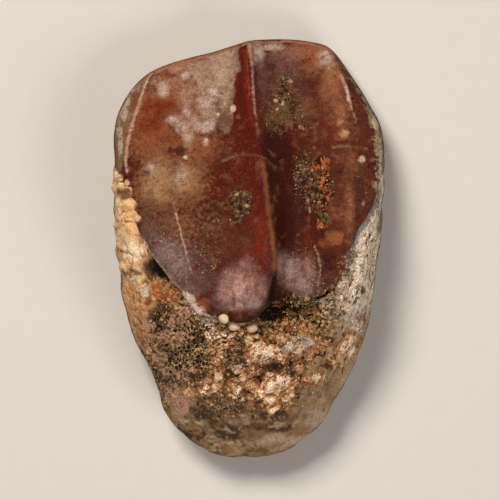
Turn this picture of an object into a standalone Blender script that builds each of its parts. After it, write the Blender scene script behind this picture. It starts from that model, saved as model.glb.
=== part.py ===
"""Fossil Triceratops tooth: a shed crown, worn flat behind, on a stub of its root.

The tooth is one solid that lies on its back. +Z is up and +Y runs from the root stub to the
worn biting edge. The origin is on the surface the tooth lies on, under the middle of its
outline. The forms below are drawn in millimetres, for a tooth of DRAWN_LENGTH, and scaled to
LENGTH in metres when the mesh is made.
"""

import math

import bmesh
import bpy
from mathutils import Vector, noise

# Driving dimensions
LENGTH = 0.030
DRAWN_LENGTH = 30.0
SCALE = LENGTH / DRAWN_LENGTH

# Grid of faces over the upper side and its walls, and a grid half as fine underneath
FRONT_ACROSS = 48
FRONT_ALONG = 76
BACK_ACROSS = FRONT_ACROSS // 2
BACK_ALONG = FRONT_ALONG // 2
FRONT_WALL_SHARE = 0.3  # share of the rings of faces that turns down over the edge
BACK_WALL_SHARE = 0.42
CROWDING = 0.3  # how much closer the rows and columns lie in the middle
ENAMEL_ROW = 30  # the row that follows the lower edge of the enamel, counted from the root
ENAMEL_ROW_LIFT = 0.35  # how far round from +X and -X that row's ends lie, in radians
GRID_CENTRE = Vector((1.5, -3.93))  # where that row and the middle column cross

# Outline seen from above, anticlockwise from the right side: x, y
OUTLINE = [
    (9.72, 5.9), (9.68, 7.5), (9.36, 9.0), (8.7, 10.2), (7.27, 12.5), (6.3, 13.9),
    (5.64, 14.5), (4.5, 14.82), (2.93, 15.0), (1.36, 15.0), (0.07, 14.9), (-0.6, 14.7),
    (-2.5, 14.1), (-4.5, 13.6), (-6.1, 13.1), (-7.3, 12.5), (-8.2, 11.7), (-8.85, 10.8),
    (-9.45, 9.55), (-9.72, 8.1), (-9.64, 5.9), (-9.72, 3.5), (-9.6, 1.5), (-9.46, -0.6),
    (-9.15, -1.9), (-9.0, -3.4), (-8.64, -5.1), (-8.0, -6.8), (-7.3, -8.4), (-6.66, -9.8),
    (-6.3, -11.1), (-5.85, -12.3), (-4.93, -13.3), (-3.9, -14.05), (-2.57, -14.7),
    (-1.2, -15.0), (0.93, -15.0), (2.3, -14.85), (3.6, -14.1), (4.6, -13.3), (5.35, -12.4),
    (6.2, -10.9), (6.8, -9.8), (7.43, -8.5), (8.1, -6.86), (8.6, -5.0), (8.88, -3.3),
    (9.05, -1.64), (9.27, -0.07), (9.5, 1.64), (9.62, 3.4),
]

# Height of the upper side along the middle of the tooth: y, z
BODY_HEIGHT = [
    (-15.0, 4.6), (-13.5, 6.0), (-11.0, 7.3), (-8.0, 8.3), (-5.0, 9.1), (-2.0, 9.2),
    (1.0, 8.8), (5.0, 7.5), (9.0, 5.8), (12.0, 4.35), (15.0, 2.8),
]
# How fast the upper side falls away from the middle: y, fall over the square of x
BODY_ROUNDNESS = [(-15.0, 0.06), (-9.0, 0.045), (-4.0, 0.026), (4.0, 0.02), (15.0, 0.018)]
# Height of the widest part of the wall: y, z
RIM_HEIGHT = [(-15.0, 3.1), (-9.0, 3.5), (-2.0, 3.6), (6.0, 2.9), (11.0, 1.9), (15.0, 1.0)]

# How far in from the outline the upper and lower sides start to turn over the edge:
# angle round from +X in degrees, distance
FRONT_TURN = [
    (-180, 1.3), (-150, 2.0), (-120, 3.0), (-90, 3.6), (-60, 3.0), (-30, 1.7), (0, 1.1),
    (35, 0.8), (60, 0.6), (90, 0.45), (108, 0.6), (130, 1.3), (155, 1.5),
]
BACK_TURN = [
    (-180, 1.5), (-130, 2.2), (-90, 2.6), (-50, 2.2), (0, 1.5), (60, 0.8), (90, 0.5),
    (120, 0.9),
]

# Lower edge of the enamel, left to right: x, y
ENAMEL_EDGE = [
    (-9.9, 6.1), (-9.07, 4.93), (-8.43, 4.07), (-7.93, 2.14), (-7.71, 1.21), (-7.29, 0.21),
    (-6.86, -0.5), (-6.14, -1.43), (-5.43, -2.29), (-4.57, -3.21), (-4.0, -4.0),
    (-3.36, -4.61), (-2.64, -5.0), (-1.79, -5.21), (-0.71, -5.36), (0.0, -5.21),
    (0.64, -4.71), (1.21, -4.14), (1.71, -3.75), (2.57, -3.68), (3.43, -3.5), (4.5, -3.14),
    (5.21, -2.86), (5.93, -2.57), (6.5, -1.89), (6.79, -1.0), (7.21, 0.07), (7.64, 1.14),
    (8.29, 2.04), (8.71, 2.86), (9.07, 3.93), (9.29, 4.93), (9.9, 6.3),
]
# How far the enamel stands above the root at that edge: x, step
ENAMEL_STEP = [
    (-9.9, 0.0), (-7.6, 0.0), (-7.0, 0.75), (-5.0, 0.9), (-3.5, 0.8), (-1.5, 0.7), (0.0, 1.0),
    (1.4, 1.7), (2.6, 1.7), (3.6, 1.2), (4.9, 0.8), (6.2, 0.45), (7.0, 0.12), (9.9, 0.05),
]
STEP_WIDTH = 0.55
ROOT_DROP = 0.45  # how far the root lies below the enamel's form, away from that edge
ROOT_DROP_REACH = 3.5

# Crest of the keel, with the line on down the root that the middle column follows: y, x
KEEL_LINE = [
    (-15.0, 0.0), (-11.0, 0.3), (-3.93, 1.5), (-0.2, 1.86), (4.1, 1.36), (8.4, 0.64),
    (11.2, 0.2), (15.0, -0.2),
]
# Ridges along the crown: crest as y, x from the foot up, height, width of the left and right
# flanks, and over what length the top and the foot fade out
RIDGES = {
    "keel": (KEEL_LINE[2:], 1.15, 1.3, 0.55, 0.0, 2.0),
    "left margin": (
        [(4.6, -8.9), (6.9, -8.6), (8.7, -8.1), (10.5, -7.4), (13.2, -6.1)],
        0.4, 0.45, 0.5, 0.0, 1.4,
    ),
    "right margin": (
        [(-2.2, 6.65), (3.4, 7.4), (5.9, 7.65), (9.07, 7.2), (10.5, 6.85), (13.9, 5.8)],
        0.4, 0.55, 0.45, 0.0, 1.5,
    ),
    "left fold": (
        [(-3.0, -3.7), (-1.1, -4.07), (0.5, -4.5), (1.93, -4.93), (4.2, -5.4)],
        0.22, 0.45, 0.45, 1.5, 1.0,
    ),
    "right fold": (
        [(-3.4, 5.1), (-1.8, 5.1), (0.5, 4.57), (3.36, 4.07), (5.6, 3.7)],
        0.45, 0.6, 0.5, 1.8, 0.7,
    ),
}

# Soft mounds, and hollows where the height is negative: x, y, reach across and along, height
MOUNDS = {
    "left lobe of the enamel": (-0.6, -3.5, 1.75, 1.8, 0.95),
    "right lobe of the enamel": (3.9, -2.2, 1.5, 1.7, 0.65),
    "left end of the enamel": (-3.9, -1.6, 1.8, 1.8, 0.3),
    "hollow left of the keel": (-3.6, 7.5, 3.0, 5.0, -0.45),
    "hollow right of the keel": (3.5, 7.0, 2.3, 5.5, -0.55),
    "foot of the right hollow": (2.75, 0.0, 0.9, 3.0, -0.45),
    "notch between the lobes": (2.3, -3.5, 0.62, 0.9, -0.9),
    "notch at the left": (-6.75, -1.75, 0.85, 0.75, -1.0),
    "pit near the biting edge": (2.55, 11.4, 0.8, 1.0, -0.35),
    "pit in the left half": (-1.2, 2.9, 0.95, 0.8, -0.3),
    "upper crust": (5.1, 5.3, 0.6, 0.8, 0.25),
    "lower crust": (5.0, 2.9, 0.9, 1.4, 0.1),
    "left crust, upper lump": (-8.5, 3.0, 0.55, 0.9, 0.3),
    "left crust, lower lump": (-7.9, 0.2, 0.75, 0.9, 0.4),
    "root hollow": (-4.2, -7.2, 1.8, 2.2, -0.35),
    "root lump under the lobes": (1.7, -7.4, 1.6, 0.9, 0.4),
    "root lump at the right": (3.4, -10.4, 1.4, 1.5, 0.35),
    "root lump at the left": (-3.3, -10.3, 1.6, 1.1, 0.2),
}
ROOT_LUMP_SIZE = 1.9
ROOT_LUMP_HEIGHT = 0.36

# The back: a facet that wear ground flat, and the hollow in the root over the next tooth
BACK_HOLLOWS = {
    "over the next tooth": (0.3, -7.2, 3.6, 3.2, 1.0),
    "left of the root": (-5.6, -9.0, 1.6, 2.6, 0.5),
    "right of the root": (5.9, -8.0, 1.6, 2.6, 0.55),
}
BACK_WAVE_SIZE = 4.0
BACK_WAVE_HEIGHT = 0.3
BACK_WEAR = 0.12  # how deep the waves of the back are cut off flat
FACET_FOOT = (-2.5, -0.5)  # from which y to which the waves give way to the facet

BONE_COLOUR = (0.23, 0.105, 0.062, 1.0)
BONE_ROUGHNESS = 0.45


def smooth_step(low, high, value):
    """0 below low, 1 above high, with a soft ramp between."""
    share = min(1.0, max(0.0, (value - low) / (high - low)))
    return share * share * (3 - 2 * share)


def curve_value(points, at):
    """Height at one place of a smooth curve through points that are given in rising order."""
    places = [place for place, _ in points]
    values = [value for _, value in points]
    last = len(points) - 1
    at = min(max(at, places[0]), places[-1])
    right = max(1, next(i for i, place in enumerate(places) if place >= at))
    left = right - 1

    def slope(i):
        before, after = max(0, i - 1), min(last, i + 1)
        return (values[after] - values[before]) / (places[after] - places[before])

    span = places[right] - places[left]
    t = (at - places[left]) / span
    return (
        (2 * t**3 - 3 * t**2 + 1) * values[left]
        + (t**3 - 2 * t**2 + t) * span * slope(left)
        + (3 * t**2 - 2 * t**3) * values[right]
        + (t**3 - t**2) * span * slope(right)
    )


def closed_curve(points):
    """Points by angle in degrees, repeated past both ends so that the curve closes."""
    points = sorted(points)
    before = [(angle - 360, value) for angle, value in points[-3:]]
    after = [(angle + 360, value) for angle, value in points[:3]]
    return before + points + after


OUTLINE_RADIUS = closed_curve(
    [(math.degrees(math.atan2(y, x)), math.hypot(x, y)) for x, y in OUTLINE]
)
FRONT_EDGE = (closed_curve(FRONT_TURN), FRONT_WALL_SHARE)
BACK_EDGE = (closed_curve(BACK_TURN), BACK_WALL_SHARE)


def enamel_distance(x, y):
    """Distance from the enamel's lower edge, positive on the enamel."""
    nearest = math.inf
    for start, end in zip(ENAMEL_EDGE, ENAMEL_EDGE[1:]):
        along = Vector(end) - Vector(start)
        offset = Vector((x, y)) - Vector(start)
        share = min(1.0, max(0.0, offset.dot(along) / along.length_squared))
        nearest = min(nearest, (offset - share * along).length)
    return nearest if y > curve_value(ENAMEL_EDGE, x) else -nearest


def on_enamel(x, y):
    """1 on the enamel and 0 on the root, with a short ramp over the edge."""
    return smooth_step(-STEP_WIDTH / 2, STEP_WIDTH / 2, enamel_distance(x, y))


def mound(x, y, centre_x, centre_y, reach_x, reach_y, height):
    """A soft mound, or a hollow where the height is negative."""
    return height * math.exp(-(((x - centre_x) / reach_x) ** 2) - ((y - centre_y) / reach_y) ** 2)


def ridge(x, y, crest, height, left_width, right_width, fade_top, fade_foot):
    """A ridge along the crown. With no fade at the top, it runs out over the biting edge."""
    foot, top = crest[0][0], crest[-1][0]
    height *= smooth_step(foot, foot + fade_foot, y)
    if fade_top:
        height *= 1 - smooth_step(top - fade_top, top, y)
    away = x - curve_value(crest, y)
    width = right_width if away > 0 else left_width
    return height * math.exp(-abs(away / width) ** 1.5)


def front_height(x, y):
    """Height of the upper side above the surface that the tooth lies on."""
    height = curve_value(BODY_HEIGHT, y) - curve_value(BODY_ROUNDNESS, y) * x * x
    below_edge = smooth_step(0.3, ROOT_DROP_REACH, -enamel_distance(x, y))
    step = curve_value(ENAMEL_STEP, x)
    step += (ROOT_DROP - step) * below_edge
    enamel = on_enamel(x, y)
    height -= step * (1 - enamel)
    height += enamel * sum(ridge(x, y, *form) for form in RIDGES.values())
    return height + sum(mound(x, y, *form) for form in MOUNDS.values())


def back_height(x, y):
    """Height of the lower side: flat where it was worn, hollow under the root."""
    height = sum(mound(x, y, *form) for form in BACK_HOLLOWS.values()) - BACK_WEAR
    waves = noise.noise(Vector((x, y, 7.0)) / BACK_WAVE_SIZE)
    height += BACK_WAVE_HEIGHT * waves * (1 - smooth_step(*FACET_FOOT, y))
    return max(0.0, height)


def root_lumps(place):
    """How far the lumps of the bare root stand out at a place on its surface."""
    lumps = noise.fractal(place / ROOT_LUMP_SIZE, 0.7, 2.0, 3)
    return ROOT_LUMP_HEIGHT * lumps * (1 - on_enamel(place.x, place.y))


def crowd(share):
    """Draw evenly spread rows, -1 to 1, closer together around the middle one."""
    return share - CROWDING * math.sin(math.pi * share) / math.pi


def on_outline(angle, inwards):
    """A point of the outline, drawn inwards."""
    reach = curve_value(OUTLINE_RADIUS, math.degrees(angle)) - inwards
    return reach * Vector((math.cos(angle), math.sin(angle)))


def place_on_disc(across, along, turns, wall_share):
    """Where a point of the square grid lies in the outline, how far the wall has turned there,
    and how far out to the wall the point lies, from 0 to 1.

    The square becomes a disc, and the disc fills the outline from the centre of the grid. The
    wall turns by a quarter circle, from the upper or lower side to its widest part.
    """
    disc_x = across * math.sqrt(1 - along * along / 2)
    disc_y = along * math.sqrt(1 - across * across / 2)
    ring = min(1.0, math.hypot(disc_x, disc_y))
    angle = math.atan2(disc_y, disc_x)
    angle += ENAMEL_ROW_LIFT * math.cos(angle)
    turn = curve_value(turns, math.degrees(angle))
    inner_ring = 1 - wall_share
    if ring <= inner_ring:
        reach = ring / inner_ring
        return GRID_CENTRE.lerp(on_outline(angle, turn), reach), 0.0, reach
    tilt = math.pi / 2 * (ring - inner_ring) / wall_share
    return on_outline(angle, turn * (1 - math.sin(tilt))), tilt, 1.0


def place_on_tooth(across, along, underneath):
    """Where a point of the square grid, -1 to 1 both ways, comes to lie on the tooth."""
    enamel_row = 2 * ENAMEL_ROW / FRONT_ALONG - 1
    along -= enamel_row * (1 - along * along) / (1 - enamel_row**2)
    across, along = crowd(across), crowd(along)
    edge = BACK_EDGE if underneath else FRONT_EDGE
    (x, y), tilt, reach = place_on_disc(across, along, *edge)
    if not underneath:
        # Draw the enamel row and the keel column onto their lines
        row = place_on_disc(across, 0.0, *edge)[0]
        column = place_on_disc(0.0, along, *edge)[0]
        inside = 1 - reach**8
        y += (curve_value(ENAMEL_EDGE, row.x) - row.y) * (1 - abs(along)) * inside
        x += (curve_value(KEEL_LINE, column.y) - column.x) * (1 - abs(across)) * inside
    rim = curve_value(RIM_HEIGHT, y)
    side = back_height(x, y) if underneath else front_height(x, y)
    place = Vector((x, y, rim + (side - rim) * math.cos(tilt)))
    # The root's lumps go all round it, but not over the worn back
    outward = Vector((x, y, 0)).normalized() * math.sin(tilt)
    outward.z = -math.cos(tilt) if underneath else math.cos(tilt)
    share = math.sin(tilt) ** 2 if underneath else 1.0
    place += outward * root_lumps(place) * share * (1 - 0.4 * math.sin(tilt))
    place.z = max(0.0, place.z)
    return place * SCALE


def add_side(mesh, across, along, underneath):
    """Add one side of the tooth as a grid of faces."""
    side = bmesh.new()
    bmesh.ops.create_grid(side, x_segments=across, y_segments=along, size=1.0)
    if underneath:
        rim_edges = [edge for edge in side.edges if edge.is_boundary]
        bmesh.ops.subdivide_edges(side, edges=rim_edges, cuts=1)
        bmesh.ops.reverse_faces(side, faces=side.faces)
    for vertex in side.verts:
        vertex.co = place_on_tooth(vertex.co.x, vertex.co.y, underneath)
    data = bpy.data.meshes.new("side")
    side.to_mesh(data)
    side.free()
    mesh.from_mesh(data)
    bpy.data.meshes.remove(data)


def bone_material():
    """Fossil tooth: dark red-brown apatite, polished by wear and water."""
    material = bpy.data.materials.new("fossil_tooth")
    material.use_nodes = True
    shader = material.node_tree.nodes["Principled BSDF"]
    shader.inputs["Base Color"].default_value = BONE_COLOUR
    shader.inputs["Roughness"].default_value = BONE_ROUGHNESS
    shader.inputs["Metallic"].default_value = 0.0
    return material


def build_tooth(collection):
    """The tooth, joined from its upper and lower sides along the widest part of the wall."""
    mesh = bmesh.new()
    add_side(mesh, FRONT_ACROSS, FRONT_ALONG, underneath=False)
    add_side(mesh, BACK_ACROSS, BACK_ALONG, underneath=True)
    bmesh.ops.remove_doubles(mesh, verts=mesh.verts, dist=0.002 * SCALE)
    bmesh.ops.triangulate(mesh, faces=[face for face in mesh.faces if len(face.verts) > 4])
    data = bpy.data.meshes.new("tooth")
    mesh.to_mesh(data)
    mesh.free()
    data.shade_smooth()
    data.materials.append(bone_material())
    tooth = bpy.data.objects.new("tooth", data)
    collection.objects.link(tooth)


def clear_scene():
    for thing in list(bpy.data.objects):
        bpy.data.objects.remove(thing)


clear_scene()
tooth_collection = bpy.data.collections.new("fossil_triceratops_tooth")
bpy.context.scene.collection.children.link(tooth_collection)
build_tooth(tooth_collection)
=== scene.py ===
# %% [markdown]
# # A fossil Triceratops tooth
#
# The object is a single shed tooth, 30 mm long. Most of what is seen is the enamel of the crown,
# worn glossy and stained dark red, plum and rust. Under it is a stub of root, which is rough,
# full of pores and crusted with pale sediment. The solid already has the main forms, so this
# lesson makes its skin: finer relief, the stains, and the grains that are stuck in the pits.

# %% Load the solid
import math

import bmesh
import bpy
import numpy as np
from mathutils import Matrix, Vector, noise


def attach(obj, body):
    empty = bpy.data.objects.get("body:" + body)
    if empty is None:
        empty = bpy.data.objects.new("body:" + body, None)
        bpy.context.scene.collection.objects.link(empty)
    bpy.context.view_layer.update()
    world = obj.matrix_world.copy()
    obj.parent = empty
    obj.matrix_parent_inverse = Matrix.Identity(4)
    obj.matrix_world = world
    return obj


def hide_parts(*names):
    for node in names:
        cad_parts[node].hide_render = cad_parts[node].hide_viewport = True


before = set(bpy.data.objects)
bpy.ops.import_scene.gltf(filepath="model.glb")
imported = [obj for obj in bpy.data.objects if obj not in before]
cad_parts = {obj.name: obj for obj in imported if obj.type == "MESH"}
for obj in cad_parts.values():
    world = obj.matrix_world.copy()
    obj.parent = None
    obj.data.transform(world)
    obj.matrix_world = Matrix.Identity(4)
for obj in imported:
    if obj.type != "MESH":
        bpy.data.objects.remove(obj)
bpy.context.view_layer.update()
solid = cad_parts["tooth"]
MM = 0.001

# %% [markdown]
# ## Camera, floor and light first
#
# The photograph looks square at the enamel, so the camera hangs above the tooth, which lies on
# its back. A long lens keeps the high keel and the low rim at nearly one scale, as they are in
# the photograph. The main light comes in at a slant past the biting edge, because that is what
# throws the shadow under the enamel's lower edge, and a second one lights the foot from the right.
# Two much weaker ones put the sheen on the lobes and the tip: each hangs where a mirror lying
# there would show it to the camera.

# %% Colours from hex
def linear(hex_colour):
    """An sRGB hex value as linear red, green, blue and alpha."""
    parts = [int(hex_colour[i : i + 2], 16) / 255 for i in (1, 3, 5)]
    return [c / 12.92 if c <= 0.04045 else ((c + 0.055) / 1.055) ** 2.4 for c in parts] + [1.0]


print("mid grey #808080 is", round(linear("#808080")[0], 3), "in linear light")

# %% One function for every node
def add_node(tree, kind, inputs=None, **settings):
    """A node with its settings. An input is a value, or the socket that feeds it."""
    node = tree.nodes.new(kind)
    for name, value in settings.items():
        setattr(node, name, value)
    for socket, value in (inputs or {}).items():
        if isinstance(value, bpy.types.NodeSocket):
            tree.links.new(value, node.inputs[socket])
        else:
            node.inputs[socket].default_value = value
    return node


def new_material(name):
    """A material with its node tree and its Principled shader."""
    material = bpy.data.materials.new(name)
    material.use_nodes = True
    return material, material.node_tree, material.node_tree.nodes["Principled BSDF"]


# %% Camera
PHOTO_SIZE = 500  # pixels across and down
PIXELS_PER_MM = 14  # scale of the photograph
ORIGIN_IN_PHOTO = (249, 247)  # the pixel under which the row frame's origin lies
ENAMEL_HEIGHT = 4 * MM  # the level at which that scale holds
FOCAL_LENGTH = 250
SENSOR = 36
in_view = PHOTO_SIZE / PIXELS_PER_MM * MM
camera_data = bpy.data.cameras.new("camera")
camera_data.lens = FOCAL_LENGTH
camera_data.sensor_width = SENSOR
camera_data.clip_start = 0.01
camera = bpy.data.objects.new("camera", camera_data)
camera.location = (
    (PHOTO_SIZE / 2 - ORIGIN_IN_PHOTO[0]) / PIXELS_PER_MM * MM,
    (ORIGIN_IN_PHOTO[1] - PHOTO_SIZE / 2) / PIXELS_PER_MM * MM,
    ENAMEL_HEIGHT + in_view * FOCAL_LENGTH / SENSOR,
)
bpy.context.scene.collection.objects.link(camera)
bpy.context.scene.camera = camera
print("camera", round(camera.location.z / MM), "mm up, sees", round(in_view / MM, 1), "mm")

# %% Floor
# Uncoated paper: rough all over, so it gives no highlight, and hardly mottled
PAPER_MOTTLE = MM / 0.9
FLOOR_REACH = 0.5  # metres
paper, tree, shader = new_material("pale_matte_paper")
grain = add_node(tree, "ShaderNodeTexNoise", {"Scale": 1 / PAPER_MOTTLE, "Detail": 3.0})
coordinates = add_node(tree, "ShaderNodeTexCoord")
tree.links.new(coordinates.outputs["Object"], grain.inputs["Vector"])
tint = add_node(
    tree, "ShaderNodeMix", {0: grain.outputs[0], 6: linear("#dad7d1"), 7: linear("#dedbd5")},
    data_type="RGBA",
)
tree.links.new(tint.outputs[2], shader.inputs["Base Color"])
shader.inputs["Roughness"].default_value = 0.9
sheet = bmesh.new()
bmesh.ops.create_grid(sheet, x_segments=1, y_segments=1, size=FLOOR_REACH)
floor_mesh = bpy.data.meshes.new("floor")
sheet.to_mesh(floor_mesh)
sheet.free()
floor_mesh.materials.append(paper)
floor = bpy.data.objects.new("floor", floor_mesh)
bpy.context.scene.collection.objects.link(floor)
# The photographed tooth has no pale sheet around it, so its edges mirror none
floor.visible_glossy = False
print("the floor reaches", FLOOR_REACH, "m each way")

# %% Lights
def soft_light(name, place_mm, size_mm, watts, colour, in_reflections):
    """A square soft light that points at the tooth."""
    lamp = bpy.data.lights.new(name, "AREA")
    lamp.size = size_mm * MM
    lamp.energy = watts
    lamp.color = linear(colour)[:3]
    light = bpy.data.objects.new(name, lamp)
    light.location = Vector(place_mm) * MM
    light.rotation_euler = (-light.location).to_track_quat("-Z", "Y").to_euler()
    light.visible_glossy = in_reflections
    bpy.context.scene.collection.objects.link(light)


# Glare is filtered from the two strong lights, as a polariser does when fossils are photographed
soft_light("past_the_biting_edge", (-80, 130, 230), 90, 0.7, "#fff6ec", False)
soft_light("from_the_right_and_foot", (150, -180, 150), 130, 0.34, "#fff9f2", False)
soft_light("sheen_from_the_left", (-130, 60, 213), 60, 0.018, "#ffffff", True)
soft_light("sheen_on_the_tip", (170, -110, 180), 80, 0.04, "#f4f5ff", True)
world = bpy.data.worlds.new("studio")
world.use_nodes = True
world.node_tree.nodes["Background"].inputs["Color"].default_value = linear("#e8e8ea")
world.node_tree.nodes["Background"].inputs["Strength"].default_value = 0.07
bpy.context.scene.world = world
bpy.context.scene.view_settings.view_transform = "Standard"
print(len(bpy.data.lights), "soft lights and a dim room")

# %% [markdown]
# ## A finer skin for the solid
#
# The solid's faces are about 0.5 mm wide, and the pores of the root are smaller than that. Its
# triangles are joined back into the rows that run along the keel and the enamel's edge, and two
# rounds of Catmull-Clark subdivision then give a smooth surface with points about 0.13 mm apart.
# The alternative, a voxel remesh, would lose those rows, and with them the crisp edge of the enamel.

# %% Copy, join and subdivide
skin = bmesh.new()
skin.from_mesh(solid.data)
bmesh.ops.remove_doubles(skin, verts=skin.verts, dist=0.001 * MM)
bmesh.ops.join_triangles(
    skin,
    faces=skin.faces,
    angle_face_threshold=math.radians(40),
    angle_shape_threshold=math.radians(60),
)
coarse = bpy.data.meshes.new("tooth_surface")
skin.to_mesh(coarse)
skin.free()
tooth = bpy.data.objects.new("tooth_surface", coarse)
bpy.context.scene.collection.objects.link(tooth)
finer = tooth.modifiers.new("finer faces", "SUBSURF")
finer.levels = finer.render_levels = 2
bpy.context.view_layer.update()
fine = bpy.data.meshes.new_from_object(tooth.evaluated_get(bpy.context.evaluated_depsgraph_get()))
tooth.modifiers.clear()
tooth.data = fine
fine.shade_smooth()
count = len(fine.vertices)
print(len(coarse.polygons), "faces became", len(fine.polygons), "with", count, "points")

# %% [markdown]
# ## Maps of the surface
#
# Relief and stains need to know where on the tooth they are. Each map is one number for each
# point of the skin: how far it is from the enamel's edge, whether it faces up, how a patch or a
# line covers it. Places are read off the photograph in its pixels, because that is where they
# can be checked. The upper side is the only one that the photograph shows, so a map made from it
# fades out on the walls.

# %% Read the points
place = np.empty(count * 3)
normal = np.empty(count * 3)
fine.vertices.foreach_get("co", place)
fine.vertex_normals.foreach_get("vector", normal)
place = place.reshape(-1, 3) / MM
normal = normal.reshape(-1, 3)
x, y = place[:, 0], place[:, 1]
photo_x = ORIGIN_IN_PHOTO[0] + PIXELS_PER_MM * x
photo_y = ORIGIN_IN_PHOTO[1] - PIXELS_PER_MM * y


def ramp(low, high, value):
    """0 at low and 1 at high, with soft ends. low may be the larger."""
    share = np.clip((value - low) / (high - low), 0, 1)
    return share * share * (3 - 2 * share)


faces_up = ramp(0.05, 0.4, normal[:, 2])
underneath = ramp(-0.3, -0.8, normal[:, 2])
print("points that face up:", int((faces_up > 0.5).sum()), "and down:", int((underneath > 0.5).sum()))

# %% Noise over the skin
FINER_SHARE = 0.7  # how fast the finer lumps of a mottle grow weaker
FINER_BY = 2.0  # how many times finer each octave is
WALL_SHARE = 0.6  # how much of a foam's cell its sloping walls take up
SCATTER = 31  # moves the cells' centres apart, so that each gets a random number of its own


def mottle(size, octaves=2, seed=0, stretch=(1, 1, 1)):
    """Fractal noise, about -1 to 1, with lumps of this size in millimetres."""
    shift = Vector((17.3, 5.1, 9.7)) * seed
    points = place / (size * np.array(stretch))
    return np.array([noise.fractal(Vector(p) + shift, FINER_SHARE, FINER_BY, octaves) for p in points])


def foam(size, seed=0):
    """Cells of a foam: 1 in the middle to 0 at the walls, and one random number for each cell."""
    shift = Vector((3.1, 11.7, 6.3)) * seed
    cells = [noise.voronoi(Vector(p) / size + shift) for p in place]
    near = np.array([distances[:2] for distances, centres in cells])
    chance = np.array([noise.cell(centres[0] * SCATTER) for distances, centres in cells])
    return np.clip((near[:, 1] - near[:, 0]) / WALL_SHARE, 0, 1), chance


broad = mottle(1.6, 3, seed=1)
medium = mottle(0.7, 3, seed=2)
small = mottle(0.3, 2, seed=3)
pocks = mottle(0.32, 2, seed=4, stretch=(0.8, 1.4, 1))
streaks = mottle(0.5, 3, seed=5, stretch=(0.7, 3.5, 0.7))
blots = mottle(0.6, 3, seed=6, stretch=(1.7, 0.9, 1))
pore_shape = foam(0.36, seed=1)[0]
crumb_shape, crumb_chance = foam(0.42, seed=2)
lump_shape = foam(0.95, seed=3)[0]
print("broad mottling spans", broad.min().round(2), "to", broad.max().round(2))
print("random numbers of the crumbs span", crumb_chance.min().round(2), "to", crumb_chance.max().round(2))

# %% Distance to a line, and patches
def away_from(points, across, along):
    """Distance from a line through points, for places given by two arrays."""
    nearest = np.full(count, np.inf)
    for (ax, ay), (bx, by) in zip(points, points[1:]):
        length = (bx - ax) ** 2 + (by - ay) ** 2
        share = np.clip(((across - ax) * (bx - ax) + (along - ay) * (by - ay)) / length, 0, 1)
        gap = np.hypot(across - ax - share * (bx - ax), along - ay - share * (by - ay))
        nearest = np.minimum(nearest, gap)
    return nearest


def line(points, width):
    """1 on a line through pixels of the photograph, fading to 0 over about its width."""
    return faces_up * np.exp(-((away_from(points, photo_x, photo_y) / width) ** 2))


def patches(ovals, ragged=0.3, soft=0.4):
    """0 to 1 over ragged ovals. Each has its pixel, its reach across and down, and its strength."""
    cover = np.zeros(count)
    for centre_x, centre_y, reach_x, reach_y, strength in ovals:
        out = np.hypot((photo_x - centre_x) / reach_x, (photo_y - centre_y) / reach_y)
        out += ragged * (0.6 * broad + 0.5 * medium + 0.3 * small)
        cover = np.maximum(cover, strength * ramp(1 + soft, 1 - soft, out))
    return cover * faces_up


trial = patches([(*ORIGIN_IN_PHOTO, PIXELS_PER_MM, PIXELS_PER_MM, 1.0)])
print("an oval of 2 mm covers", int((trial > 0.5).sum()), "points")

# %% Enamel or root
# The lower edge of the enamel, in millimetres from the origin
ENAMEL_EDGE = [
    (-9.9, 6.1), (-9.07, 4.93), (-8.43, 4.07), (-7.8, 2.14), (-7.71, 1.21), (-7.29, 0.21),
    (-6.86, -0.5), (-6.14, -1.43), (-5.43, -2.29), (-4.57, -3.21), (-4.0, -4.0),
    (-3.36, -4.61), (-2.64, -4.9), (-1.79, -4.95), (-0.71, -5.3), (0.0, -5.21),
    (0.64, -4.71), (1.21, -4.14), (1.71, -3.75), (2.57, -3.68), (3.43, -3.5), (4.5, -3.14),
    (5.21, -2.86), (5.93, -2.57), (6.4, -1.89), (6.6, -1.0), (7.05, 0.07), (7.6, 1.14),
    (8.29, 2.04), (8.71, 2.86), (9.07, 3.93), (9.29, 4.93), (9.9, 6.3),
]
edge_x, edge_y = np.array(ENAMEL_EDGE).T
beyond_edge = away_from(ENAMEL_EDGE, x, y) * np.where(y > np.interp(x, edge_x, edge_y), 1, -1)
# Sediment laps over the lower right edge, and bone over the left one in lumps
lapped = ramp(1.6, 3.2, x) * ramp(7.2, 5.5, x) * (0.2 + 0.4 * small + 0.3 * medium)
lapped += ramp(-6.6, -7.2, x) * ramp(5.6, 4.6, y) * (0.7 * lump_shape - 0.25 + 0.15 * small)
ragged_edge = beyond_edge - lapped * ramp(0.9, 0.1, np.abs(beyond_edge))
enamel = faces_up * ramp(-0.06, 0.06, ragged_edge)
root = 1 - ramp(-0.1, 0.0, ragged_edge)
print("enamel covers", f"{enamel.mean():.0%}", "of the points, root", f"{root.mean():.0%}")
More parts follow.
